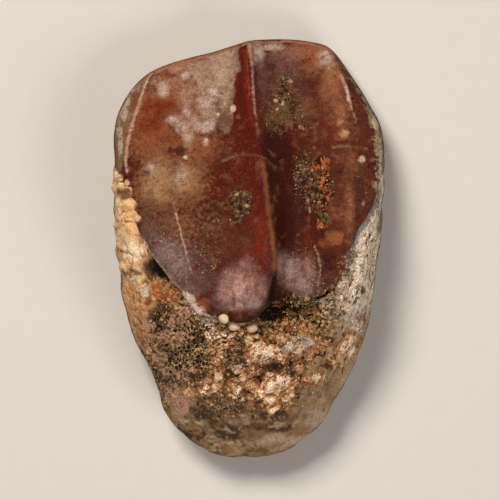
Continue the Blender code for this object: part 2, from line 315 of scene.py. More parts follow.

# %% [markdown]
# ## Relief
#
# Relief that shows is real geometry, moved along the surface's normal. The enamel's lower edge is
# a broken lip, so the solid's soft step is cut steeper there. The ridge crests are fine, and the
# bright lines along them are painted highlights, laid down with the stains. The root is foam-like
# tissue whose pores are 0.2 to 0.4 mm across, and what fills it is a crust of crumbs about 0.4 mm
# across, so both are cut with the cells of a foam.

# %% Lines of the relief, in pixels of the photograph
KEEL = [
    (249.5, 45), (252, 70), (253, 95), (256.5, 128), (262, 160), (266, 190), (268.5, 215), (272.5, 240),
    (274, 262), (274, 285),
]
LEFT_MARGIN = [
    (151, 72), (147, 80), (143.5, 90), (139.5, 105), (134, 120), (129, 140), (126.5, 160), (128, 172),
]
RIGHT_MARGIN = [
    (338, 66), (341, 75), (346.5, 90), (350, 105), (355, 121), (358, 145), (355, 180), (352, 205),
    (347, 240),
]
LEFT_FOLD = [(174, 203), (177.5, 215), (182.5, 235), (188, 255), (192, 271)]
RIGHT_FOLD = [(306, 195), (309, 213), (307, 232), (311, 248), (317, 260), (319, 270), (314, 289)]
LOBE_FOLD = [(226, 271), (229, 282), (229, 294)]
TOP_EDGE = [(152, 67), (190, 56), (220, 49), (245, 40), (262, 38), (320, 41), (334, 49)]
NOTCH = [(274, 262), (274, 276), (273, 290), (270, 303)]
print("the keel runs over", round((KEEL[-1][1] - KEEL[0][1]) / PIXELS_PER_MM, 1), "mm")

# %% Steeper lip, finer crests
# How high the step at the enamel's edge is: x, height in millimetres
LIP_STEP = [
    (-9.9, 0.0), (-7.6, 0.0), (-7.0, 0.75), (-5.0, 0.9), (-3.5, 0.8), (-1.5, 0.7), (0.0, 1.0),
    (1.4, 1.7), (2.6, 1.7), (3.6, 1.2), (4.9, 0.8), (6.2, 0.45), (7.0, 0.12), (9.9, 0.05),
]
step = np.interp(x, *np.array(LIP_STEP).T)
lip = step * (ramp(-0.12, 0.12, beyond_edge) - ramp(-0.3, 0.3, beyond_edge)) * 0.8
banked_up = 0.45 * ramp(2.0, 3.4, x) * ramp(8.0, 6.0, x) * np.exp(-(((beyond_edge + 0.35) / 0.55) ** 2))
crests = (
    0.06 * line(KEEL, 2.6)
    + 0.06 * line(LEFT_MARGIN, 2.2)
    + 0.08 * line(RIGHT_MARGIN[:5], 2.0)
    + 0.03 * line(RIGHT_MARGIN[4:], 3.0)
    + 0.04 * line(LEFT_FOLD, 1.6)
    + 0.04 * line(RIGHT_FOLD, 2.0)
    + 0.03 * line(LOBE_FOLD, 2.0)
    - 0.14 * line(NOTCH[1:], 2.6)
)  # each number before a line is its height in millimetres
print("lip moves by up to", round(float(np.abs(lip).max()), 2), "mm")

# %% Where crusts and sediment lie
crust = enamel * patches([
    (284, 96, 9, 12, 0.85), (283, 80, 8, 5, 0.8), (300, 127, 6, 5, 0.6), (286, 116, 16, 7, 0.45),
    (268, 123, 5, 5, 0.6), (239, 205, 11, 14, 0.9), (219, 205, 6, 6, 0.55), (219, 223, 7, 4, 0.6),
    (236, 222, 6, 4, 0.6), (203, 249, 7, 6, 0.6), (215, 263, 5, 5, 0.6), (206, 268, 5, 4, 0.5),
    (166, 232, 6, 3, 0.6), (301, 172, 8, 18, 0.6), (316, 190, 10, 24, 0.8), (323, 218, 8, 12, 0.6),
    (326, 186, 7, 12, 0.55), (324, 297, 8, 5, 0.7),
], ragged=0.6)
orange_crust = enamel * patches([
    (320, 165, 8, 8, 1.0), (324, 176, 4, 6, 0.9), (319, 225, 4, 4, 0.8), (301, 128, 4, 4, 0.8),
    (314, 149, 2, 2, 0.9), (322, 204, 3, 9, 0.5), (322, 182, 5, 9, 0.85), (328, 196, 4, 6, 0.6),
])
under_lip = np.exp(-(((beyond_edge + 0.15) / 0.4) ** 2))
lip_sediment = faces_up * ramp(1.4, 2.2, x) * ramp(7.4, 6.4, x) * under_lip
honeycomb = root * patches([
    (188, 348, 28, 34, 1.0), (170, 380, 16, 20, 0.8), (222, 398, 24, 16, 0.5), (233, 352, 14, 12, 0.7),
])
foot = root * ramp(-9.8, -12.6, y + 0.8 * broad + 0.5 * medium)
right_side = root * ramp(4.6, 6.6, x + 0.3 * medium + 0.12 * (y + 6))
towards_left = x - 0.42 * np.minimum(0, y + 4) + 0.3 * medium
left_side = root * ramp(-5.8, -6.8, towards_left)
olive_side = root * faces_up * ramp(2.4, 4.6, x + 0.5 * broad) * ramp(-5.0, -8.0, y)
# Dark soil, and painted shade in the notch under the lobes and in the hollow below the enamel's left edge
soil_and_shade = root * patches([
    (270, 311, 20, 8, 1.0), (154, 265, 11, 9, 0.9), (164, 272, 8, 6, 1.0), (292, 306, 14, 5, 0.8),
    (149, 263, 6, 4, 0.7), (153, 276, 6, 6, 0.7),
])
gap_in_strip = patches([(126, 195, 9, 5.5, 1.0)])
strip = (1 - soil_and_shade) * faces_up * ramp(0.06, -0.06, ragged_edge) * ramp(-6.6, -7.2, x) * ramp(-2.6, -1.4, y)
edge_lumps = faces_up * np.maximum(
    patches([
        (192, 300, 6, 6, 1.0), (187, 293, 3, 4, 0.9), (199, 308, 4, 3, 0.8), (324, 295, 9, 5, 1.0),
    ], ragged=0.5),
    line([(191, 302), (199, 308), (206, 316), (210, 323), (214, 329)], 4.6),
)
CREAM = [
    (263, 352, 14, 9, 1.0), (261, 354, 8, 5, 1.5), (252, 341, 9, 7, 1.0), (274, 350, 7, 5, 0.8),
    (222, 337, 12, 8, 1.0), (258, 343, 8, 6, 1.0), (279, 382, 13, 10, 1.0), (285, 380, 9, 8, 1.0),
    (267, 394, 12, 10, 1.0), (272, 407, 8, 5, 0.9), (290, 389, 6, 7, 0.8), (210, 387, 9, 7, 0.9),
    (218, 356, 7, 7, 0.8), (254, 365, 7, 5, 0.6), (236, 391, 8, 8, 1.0), (281, 357, 8, 5, 1.0),
    (224, 336, 8, 5, 1.5), (276, 376, 8, 5, 1.0), (251, 386, 6, 5, 0.7), (297, 368, 7, 4, 0.6),
    (224, 338, 8, 5, 1.0), (282, 336, 8, 4, 0.7), (306, 325, 8, 4, 0.7), (234, 390, 7, 8, 0.9),
    (218, 375, 5, 7, 0.9), (314, 376, 9, 4, 1.0), (349, 345, 8, 9, 0.9), (175, 390, 14, 9, 0.5),
    (240, 373, 11, 7, 0.8), (206, 388, 8, 6, 0.5), (338, 362, 10, 9, 0.5), (325, 352, 8, 6, 0.5),
    (196, 372, 6, 5, 0.5), (302, 352, 10, 6, 0.6),
]
cream = root * patches(CREAM, ragged=0.85, soft=0.3)
# The thick lumps have less painted shade in their crevices and more painted highlight on top. A rusty halo
# lies round every patch of cream
thick_cream = patches([(262, 352, 12, 8, 1.0), (279, 382, 11, 9, 0.6), (223, 336, 8, 5, 0.7)])
HALO_WIDTH = 5
halo = root * patches(
    [(px, py, wide + HALO_WIDTH, high + HALO_WIDTH, 0.75 * much) for px, py, wide, high, much in CREAM],
    ragged=0.8,
)
white_lumps = patches([
    (303, 340, 15, 6, 0.8), (291, 346, 12, 8, 0.8), (137, 279, 5, 5, 0.9), (146, 290, 4, 7, 0.9),
    (189, 296, 5, 4, 0.9), (238, 368, 7, 5, 0.7), (263, 350, 9, 6, 1.0), (254, 340, 6, 4, 0.9),
    (283, 380, 7, 7, 0.8), (274, 388, 6, 5, 0.6), (344, 305, 8, 8, 0.4), (355, 326, 8, 6, 0.7),
    (346, 268, 6, 9, 1.0), (326, 304, 8, 5, 0.8),
], ragged=0.7, soft=0.3)
white = root * np.maximum(white_lumps, 0.9 * edge_lumps)
print("crust covers", f"{(crust > 0.5).mean():.1%}", "of the points")

# %% Pores, crumbs, lumps and pits
bare_root = root * (1 - underneath)
coarse_ground = (
    bare_root * (1 - 0.8 * foot) * (1 - 0.65 * right_side) * (1 - 0.6 * left_side) * (1 - 0.5 * olive_side)
    * (0.4 + 0.6 * faces_up)
)
granular = (
    root * faces_up * (1 - foot) * (1 - left_side) * (1 - strip)
    * (1 - 0.8 * right_side) * (1 - 0.7 * olive_side)
)
crumbly = granular * (1 - 0.85 * honeycomb) * (1 - soil_and_shade)
pores = coarse_ground * ramp(0.3, 0.85, pore_shape) * np.clip(honeycomb + 0.5 * ramp(0.1, 0.6, medium), 0, 1)
lumpy = np.clip(cream + white, 0, 1) * (1 - strip)
worn_sides = np.clip(right_side + 0.5 * left_side + 0.4 * olive_side, 0, 1)
pits = faces_up * worn_sides * (1 - strip) * ramp(0.3, 0.6, pocks + 0.2 * broad)
# Numbers that stand before a map are heights in millimetres
ground = 0.12 * medium + 0.06 * small + 0.1 * broad - 0.16 * pores
ground += crumbly * (0.2 * crumb_shape + 0.16 * crumb_chance - 0.16)
relief = (
    lip * faces_up
    + banked_up * faces_up * (1 + 0.5 * medium)
    + crests
    + enamel * (0.02 * broad + 0.008 * medium)
    + crust * (0.16 * crumb_shape - 0.02 + 0.1 * small + 0.08 * crumb_chance)
    + orange_crust * (0.04 + 0.22 * crumb_shape + 0.1 * small)
    + strip * (0.02 + 0.28 * lump_shape + 0.1 * medium + 0.04 * small)
    + coarse_ground * (1 - strip) * ground
    + lumpy * (0.04 + 0.2 * lump_shape + 0.12 * small)
    + edge_lumps * (0.1 + 0.1 * lump_shape + 0.1 * small)
    - 0.2 * strip * gap_in_strip
    + lip_sediment * (0.06 + 0.2 * crumb_shape + 0.1 * medium)
    + (bare_root - coarse_ground) * (0.025 * medium + 0.03 * streaks)
    - 0.07 * pits
)
relief *= 1 - underneath
place = place + normal * relief[:, None]
place[:, 2] = np.maximum(place[:, 2], 0)
fine.vertices.foreach_set("co", (place * MM).ravel())
fine.update()
print("relief spans", relief.min().round(2), "to", relief.max().round(2), "mm")

# %% [markdown]
# ## Stains
#
# The colours come from what seeped into the tooth in the ground: iron gives the reds and rusts,
# manganese the plum and near-black, and where groundwater etched the enamel it is a chalky tan.
# Some maps are painted light and shade instead: highlights on the crests and the lip, sheen on the
# lobes, and shade in the notch, under the lobes and between the crumbs of the root.
# Each stain is a map stored on the skin as an attribute. It says how likely the stain is there:
# at 1 it covers everything, and at 0.5 a noise in the material picks the half that it covers.
# That is what makes the marbled borders of the real stains. On the enamel the borders are soft,
# because the stains lie at several depths in a layer that lets some light through.

# %% Stains of the enamel
stains = {
    "dark_red": [
        (244, 85, 9, 52, 1.0), (247, 140, 17, 44, 1.0), (230, 168, 24, 30, 0.9), (252, 200, 14, 40, 0.9),
        (256, 255, 14, 32, 0.7), (226, 240, 20, 20, 0.5), (216, 182, 12, 16, 0.7),
    ],
    "chestnut": [
        (335, 145, 30, 34, 0.95), (362, 120, 14, 50, 0.9), (345, 200, 24, 40, 0.9),
        (330, 265, 20, 26, 0.85), (215, 240, 26, 24, 0.7), (240, 250, 16, 16, 0.5),
        (365, 180, 16, 24, 0.9),
    ],
    "mulberry": [
        (280, 76, 24, 36, 1.0), (262, 60, 8, 14, 0.7), (300, 100, 14, 22, 0.8), (268, 115, 12, 14, 0.5),
    ],
    "near_black_and_shade": [
        (278, 160, 15, 38, 1.0), (286, 215, 15, 46, 1.0), (303, 195, 12, 36, 0.6),
        (328, 262, 11, 13, 0.5), (278, 250, 7, 22, 0.7), (222, 158, 12, 18, 0.45),
        # The next three ovals are painted shade under and between the lobes; the others are the dark
        # manganese stain
        (282, 296, 13, 7, 1.0), (266, 303, 6, 6, 0.8), (276, 280, 4, 12, 0.7),
    ],
    "purple_brown": [
        (172, 262, 26, 26, 1.0), (192, 284, 20, 18, 0.9), (150, 232, 12, 18, 0.8), (222, 300, 18, 12, 0.7),
        (205, 266, 14, 14, 0.5),
    ],
    "brown": [
        (160, 148, 32, 16, 0.9), (195, 146, 26, 18, 0.75), (190, 184, 22, 26, 0.8),
        (158, 192, 26, 22, 0.8), (178, 206, 12, 8, 0.7), (180, 225, 24, 20, 0.65),
        (345, 112, 12, 18, 0.5), (300, 128, 14, 14, 0.3),
    ],
    "rust": [
        (152, 122, 20, 26, 1.0), (165, 105, 20, 18, 1.0), (170, 78, 18, 16, 0.95),
        (190, 100, 20, 30, 0.85), (144, 98, 5, 18, 0.8), (190, 150, 36, 22, 0.4), (208, 78, 20, 20, 0.4),
        (308, 68, 14, 12, 0.4), (203, 303, 7, 6, 0.8),
    ],
    "deep_rust": [
        (164, 106, 17, 8, 0.95), (151, 124, 13, 10, 0.85), (168, 76, 5, 9, 0.7), (192, 104, 6, 13, 0.75),
        (147, 110, 5, 9, 0.6), (330, 132, 10, 12, 0.5), (176, 152, 12, 5, 0.55), (165, 140, 14, 5, 0.45),
        (190, 85, 8, 5, 0.4),
    ],
    "orange_tan": [
        (332, 80, 12, 26, 0.9), (339, 112, 8, 16, 0.7), (303, 51, 24, 8, 0.9), (320, 62, 14, 14, 0.7),
        (341, 135, 8, 8, 0.4), (352, 165, 6, 12, 0.45), (348, 215, 5, 30, 0.5), (335, 213, 8, 10, 0.4),
        (172, 64, 16, 7, 0.7), (317, 49, 12, 7, 1.0), (306, 266, 4, 9, 0.7), (158, 80, 8, 8, 0.4),
        (182, 92, 10, 12, 0.4), (312, 108, 12, 10, 0.35),
    ],
    "chalky_tan": [
        (222, 68, 17, 30, 1.0), (225, 98, 10, 18, 0.7), (200, 68, 20, 18, 0.75), (198, 94, 18, 20, 0.5),
        (228, 50, 12, 9, 0.95), (165, 88, 14, 12, 0.45), (190, 124, 22, 10, 0.4), (189, 136, 5, 12, 0.7),
        (178, 66, 12, 7, 0.5), (226, 122, 9, 12, 0.4), (327, 56, 9, 12, 0.75), (258, 50, 8, 8, 0.5),
        (211, 115, 9, 14, 0.7), (205, 83, 11, 9, 0.85), (231, 113, 6, 6, 0.8),
    ],
    "sandy": [
        (160, 178, 16, 17, 0.75), (183, 180, 15, 15, 0.7), (150, 168, 12, 8, 0.5), (202, 164, 6, 9, 0.2),
        (166, 196, 20, 8, 0.45), (190, 140, 8, 20, 0.3), (155, 191, 10, 9, 0.95),
    ],
    "lilac_bloom": [
        (163, 90, 5, 6, 0.9), (185, 75, 4, 5, 0.75), (205, 104, 8, 9, 0.62), (175, 121, 7, 5, 0.62),
        (182, 129, 6, 5, 0.62), (196, 124, 6, 4, 0.62), (206, 127, 9, 6, 0.85), (213, 92, 5, 5, 0.8),
        (187, 112, 5, 5, 0.5), (185, 96, 4, 5, 0.4), (257, 54, 6, 10, 0.7), (275, 46, 8, 4, 0.7),
        (219, 56, 8, 6, 0.4), (222, 76, 9, 9, 0.35), (206, 142, 3, 4, 0.7), (327, 55, 6, 9, 0.55),
        (152, 170, 8, 6, 0.4), (181, 178, 6, 12, 0.4), (196, 112, 18, 18, 0.25), (190, 138, 5, 6, 0.35),
    ],
    "plum_haze": [(285, 66, 16, 14, 0.5), (262, 80, 5, 22, 0.4), (290, 52, 14, 8, 0.45)],
    "olive": [
        (147, 210, 10, 11, 0.6), (165, 220, 18, 14, 0.5), (190, 215, 16, 18, 0.4), (225, 122, 8, 10, 0.5),
        (285, 113, 21, 16, 0.75), (270, 125, 10, 9, 0.5), (212, 225, 18, 14, 0.45),
    ],
    "brown_spot": [
        (178, 152, 9, 5, 0.75), (147, 174, 5, 4, 0.6), (271, 67, 5, 5, 0.8), (293, 104, 4, 7, 0.9),
        (366, 190, 10, 4, 0.4), (220, 217, 10, 4, 0.4),
    ],
    "ember": [
        (262, 240, 8, 26, 0.85), (255, 212, 8, 20, 0.45), (246, 250, 10, 16, 0.35),
        (306, 240, 3, 8, 0.6),
    ],
    "orange_patch": [(333, 238, 10, 7, 0.9), (322, 243, 5, 6, 0.6)],
    # Painted sheen on the left lobe, pinkish
    "painted_pink_sheen": [
        (240, 285, 15, 15, 1.0), (246, 295, 12, 8, 0.9), (229, 292, 9, 12, 1.0), (233, 300, 9, 6, 0.9),
        (246, 268, 9, 10, 0.45), (237, 304, 12, 5, 0.85), (262, 288, 5, 12, 0.6),
    ],
    # Painted sheen on the right lobe, the tip and the low left side, greyish
    "painted_grey_sheen": [
        (290, 270, 13, 13, 0.85), (300, 285, 12, 8, 1.0), (281, 264, 6, 11, 0.85), (309, 272, 5, 11, 0.6),
        (170, 254, 14, 12, 0.6), (160, 240, 8, 12, 0.25), (180, 266, 11, 11, 0.85), (188, 288, 9, 9, 0.4),
        (257, 303, 10, 4, 1.0),
    ],
}
# These are hazes in the enamel's surface, and the painted sheen of the lobes, so they fade further out than
# the other stains do
HAZES = ("lilac_bloom", "plum_haze", "painted_pink_sheen", "painted_grey_sheen", "orange_tan", "mulberry")
stains = {
    name: enamel * (patches(ovals, 0.25, 0.95) if name in HAZES else patches(ovals, 0.4, 0.75))
    for name, ovals in stains.items()
}
# The painted sheen runs in streaks down the lobes
for name in ("painted_pink_sheen", "painted_grey_sheen"):
    stains[name] *= np.clip(0.95 + 0.6 * streaks + 0.15 * small, 0.3, 1.1)
stains["veil_brown"] = 0.42 * enamel * ramp(0.0, 0.7, medium + 0.5 * broad)
stains["veil_plum"] = 0.42 * enamel * ramp(0.0, -0.7, medium + 0.5 * broad)
# The chalky tan ends at a nearly straight border beside the keel
border_x = np.interp(photo_y, [47, 70, 85, 105], [237, 238, 234, 232])
straight_border = ramp(3, -2, photo_x - border_x + 3 * medium + 2 * small)
for name in ("chalky_tan", "lilac_bloom"):
    stains[name] *= np.where(photo_x < 246, straight_border, 1)
for name, cover in stains.items():
    print(f"{name:13s} covers {(cover > 0.3).mean():6.1%}")

# %% Dots and lines of the enamel
dots = patches([
    (233, 109.5, 3.2, 3.4, 1.0), (218, 115, 2.2, 2.2, 0.8), (225, 103, 1.8, 1.8, 0.5),
    (186, 158, 2.2, 2.6, 0.9), (206, 142, 2.2, 2.2, 0.6), (361, 160, 3.8, 3.6, 0.9),
    # The dot at (283, 104) is a painted glint on a nodule of the crust; the others are pale spots
    (376, 125, 2.2, 5, 0.6), (380, 158, 1.8, 4, 0.6), (362, 204, 1.6, 2, 0.7), (283, 104, 2.2, 2.4, 0.7),
    (290, 82, 2.6, 2.6, 0.7), (283, 78, 2.6, 2.6, 0.5),
], ragged=0.2, soft=0.45)
tan_dots = patches([
    (344, 134, 4.8, 4.4, 0.9), (340, 122, 5, 4, 0.5), (301, 128, 3, 3, 0.5), (276, 101, 2.4, 2.4, 0.7),
    (238, 118, 3, 3, 0.4), (268, 123, 3, 3, 0.5), (372, 160, 3, 3, 0.4),
], ragged=0.25, soft=0.6)
# The band outside each margin, and where its inner side lies at each height of the photograph
margin_x = np.interp(photo_y, [76, 95, 128, 160, 172], [150, 142, 132, 124, 122])
margin_band = enamel * faces_up * ramp(3, -3, photo_x - margin_x) * ramp(176, 166, photo_y)
rim_x = np.interp(photo_y, [40, 60, 98, 135, 160, 200], [338, 354, 375, 386, 388, 388])
right_rim = enamel * ramp(-17, -7, photo_x - rim_x + 4 * medium) * ramp(205, 185, photo_y)
# How strong the painted highlight on the keel's crest is on its way down: y of the pixel, brightness
KEEL_FADE = [
    (45, 1.0), (56, 0.9), (66, 0.62), (84, 0.55), (96, 0.75), (110, 0.5), (130, 0.42), (150, 0.15),
]
keel_fade = np.interp(photo_y, *np.array(KEEL_FADE).T)
keel_highlight_line = np.maximum(line(KEEL[:5], 1.8), 0.7 * line([(248.5, 44), (250, 52)], 3.0))
lip_shadow = np.interp(x, [-2.8, 0.8, 1.8], [0.3, 0.45, 1.0])
lines = {
    "red_flank": enamel * np.maximum(
        0.9 * line([(244, 50), (246.5, 70), (248, 95), (252, 125)], 3.0),
        0.7 * line([(256, 95), (262, 128)], 2.4),
    ),
    # A painted highlight along the keel's crest, pale pink, strongest near the biting edge
    "keel_highlight": keel_fade * keel_highlight_line * (0.9 + 0.25 * small),
    "keel_second": 0.55 * line([(246.5, 60), (247.5, 75), (249.5, 98)], 1.2),
    "keel_tan": 0.8 * line(KEEL[4:], 2.7) * ramp(150, 170, photo_y) * ramp(285, 262, photo_y),
    # A pale line on each margin's crest, with a painted highlight along it
    "margin_line_and_highlight": np.maximum.reduce([
        0.85 * line(LEFT_MARGIN, 2.0), 0.4 * line(LEFT_MARGIN, 4.0),
        0.95 * line(RIGHT_MARGIN[1:4], 1.9), 0.5 * line(RIGHT_MARGIN[3:5], 2.4),
        0.2 * line(RIGHT_MARGIN[4:], 3.0),
    ]) * (0.92 + 0.2 * small),
    "glint": 0.9 * line([(345.5, 85), (346.5, 92), (348.5, 101)], 1.2)
    + 0.7 * line([(147, 80), (144.5, 87)], 1.3),
    "fold_line": np.maximum.reduce([
        0.9 * line(LEFT_FOLD[1:4], 1.1), 0.5 * line(LEFT_FOLD, 1.6), 0.7 * line(RIGHT_FOLD[:2], 1.3),
        0.45 * line(RIGHT_FOLD[4:], 1.3), 0.5 * line(LOBE_FOLD, 1.3),
        0.3 * line([(190, 130), (190, 165)], 2.0),
        0.55 * line([(313, 246), (318, 258), (319, 270), (316, 284)], 1.5),
    ]) * (0.9 + 0.3 * small),
    "hairline": np.maximum.reduce([
        0.6 * line([(222, 162), (232, 158), (244, 155.5), (256, 157), (266, 160)], 1.4),
        0.65 * line([(332, 148), (348, 147), (366, 149)], 1.9),
        0.4 * line([(306, 131), (330, 116), (350, 103)], 1.8),
    ]),
    "crack": enamel * np.maximum(
        0.75 * line([(336, 172), (350, 176), (360, 183), (370, 187)], 1.5),
        0.5 * line([(300, 150), (318, 146), (332, 148)], 1.5),
    ),
    "dots": dots,
    "tan_dots": tan_dots,
    "margin_band": margin_band,
    "margin_pale": margin_band * patches([
        (124, 113, 4, 9, 0.9), (121, 142, 3, 14, 0.8), (136, 88, 8, 4, 0.8), (128, 100, 3, 7, 0.8),
        (118, 125, 3, 9, 0.7),
    ]),
    "margin_red": margin_band * patches([
        (134, 108, 5, 16, 0.7), (127, 132, 4, 14, 0.6), (139, 92, 5, 8, 0.6),
    ]),
    "right_rim": right_rim,
    "rim_pale": right_rim * patches([
        (376, 122, 4, 8, 0.9), (381, 140, 3, 8, 0.6), (381, 158, 3, 9, 0.8), (366, 92, 4, 9, 0.6),
        (352, 66, 4, 10, 0.6), (380, 178, 4, 9, 0.6),
    ], ragged=0.5),
    # A painted highlight along the enamel's broken lower edge
    "lip_edge_highlight": enamel * ramp(0.22, 0.06, beyond_edge) * ramp(-7.6, -7.0, x) * ramp(-1.6, -2.6, x),
    # Painted shade where the lobes round down to their lower edge
    "lip_shade": enamel * ramp(1.0, 0.2, (beyond_edge + 0.2 * medium) / lip_shadow)
    * ramp(-2.8, -1.6, x) * ramp(4.4, 2.6, x) * 0.9,
    # Painted shade in the crease between the lobes
    "notch_shade": enamel * line(NOTCH, 3.0) * ramp(258, 282, photo_y),
    "grey_seam": faces_up * np.exp(-(((beyond_edge + 0.1) / 0.28) ** 2))
    * ramp(6.1, 6.7, x) * ramp(4.6, 3.6, y),
    "edge_lumps": edge_lumps,
}
print(len(lines), "maps of lines and rims")

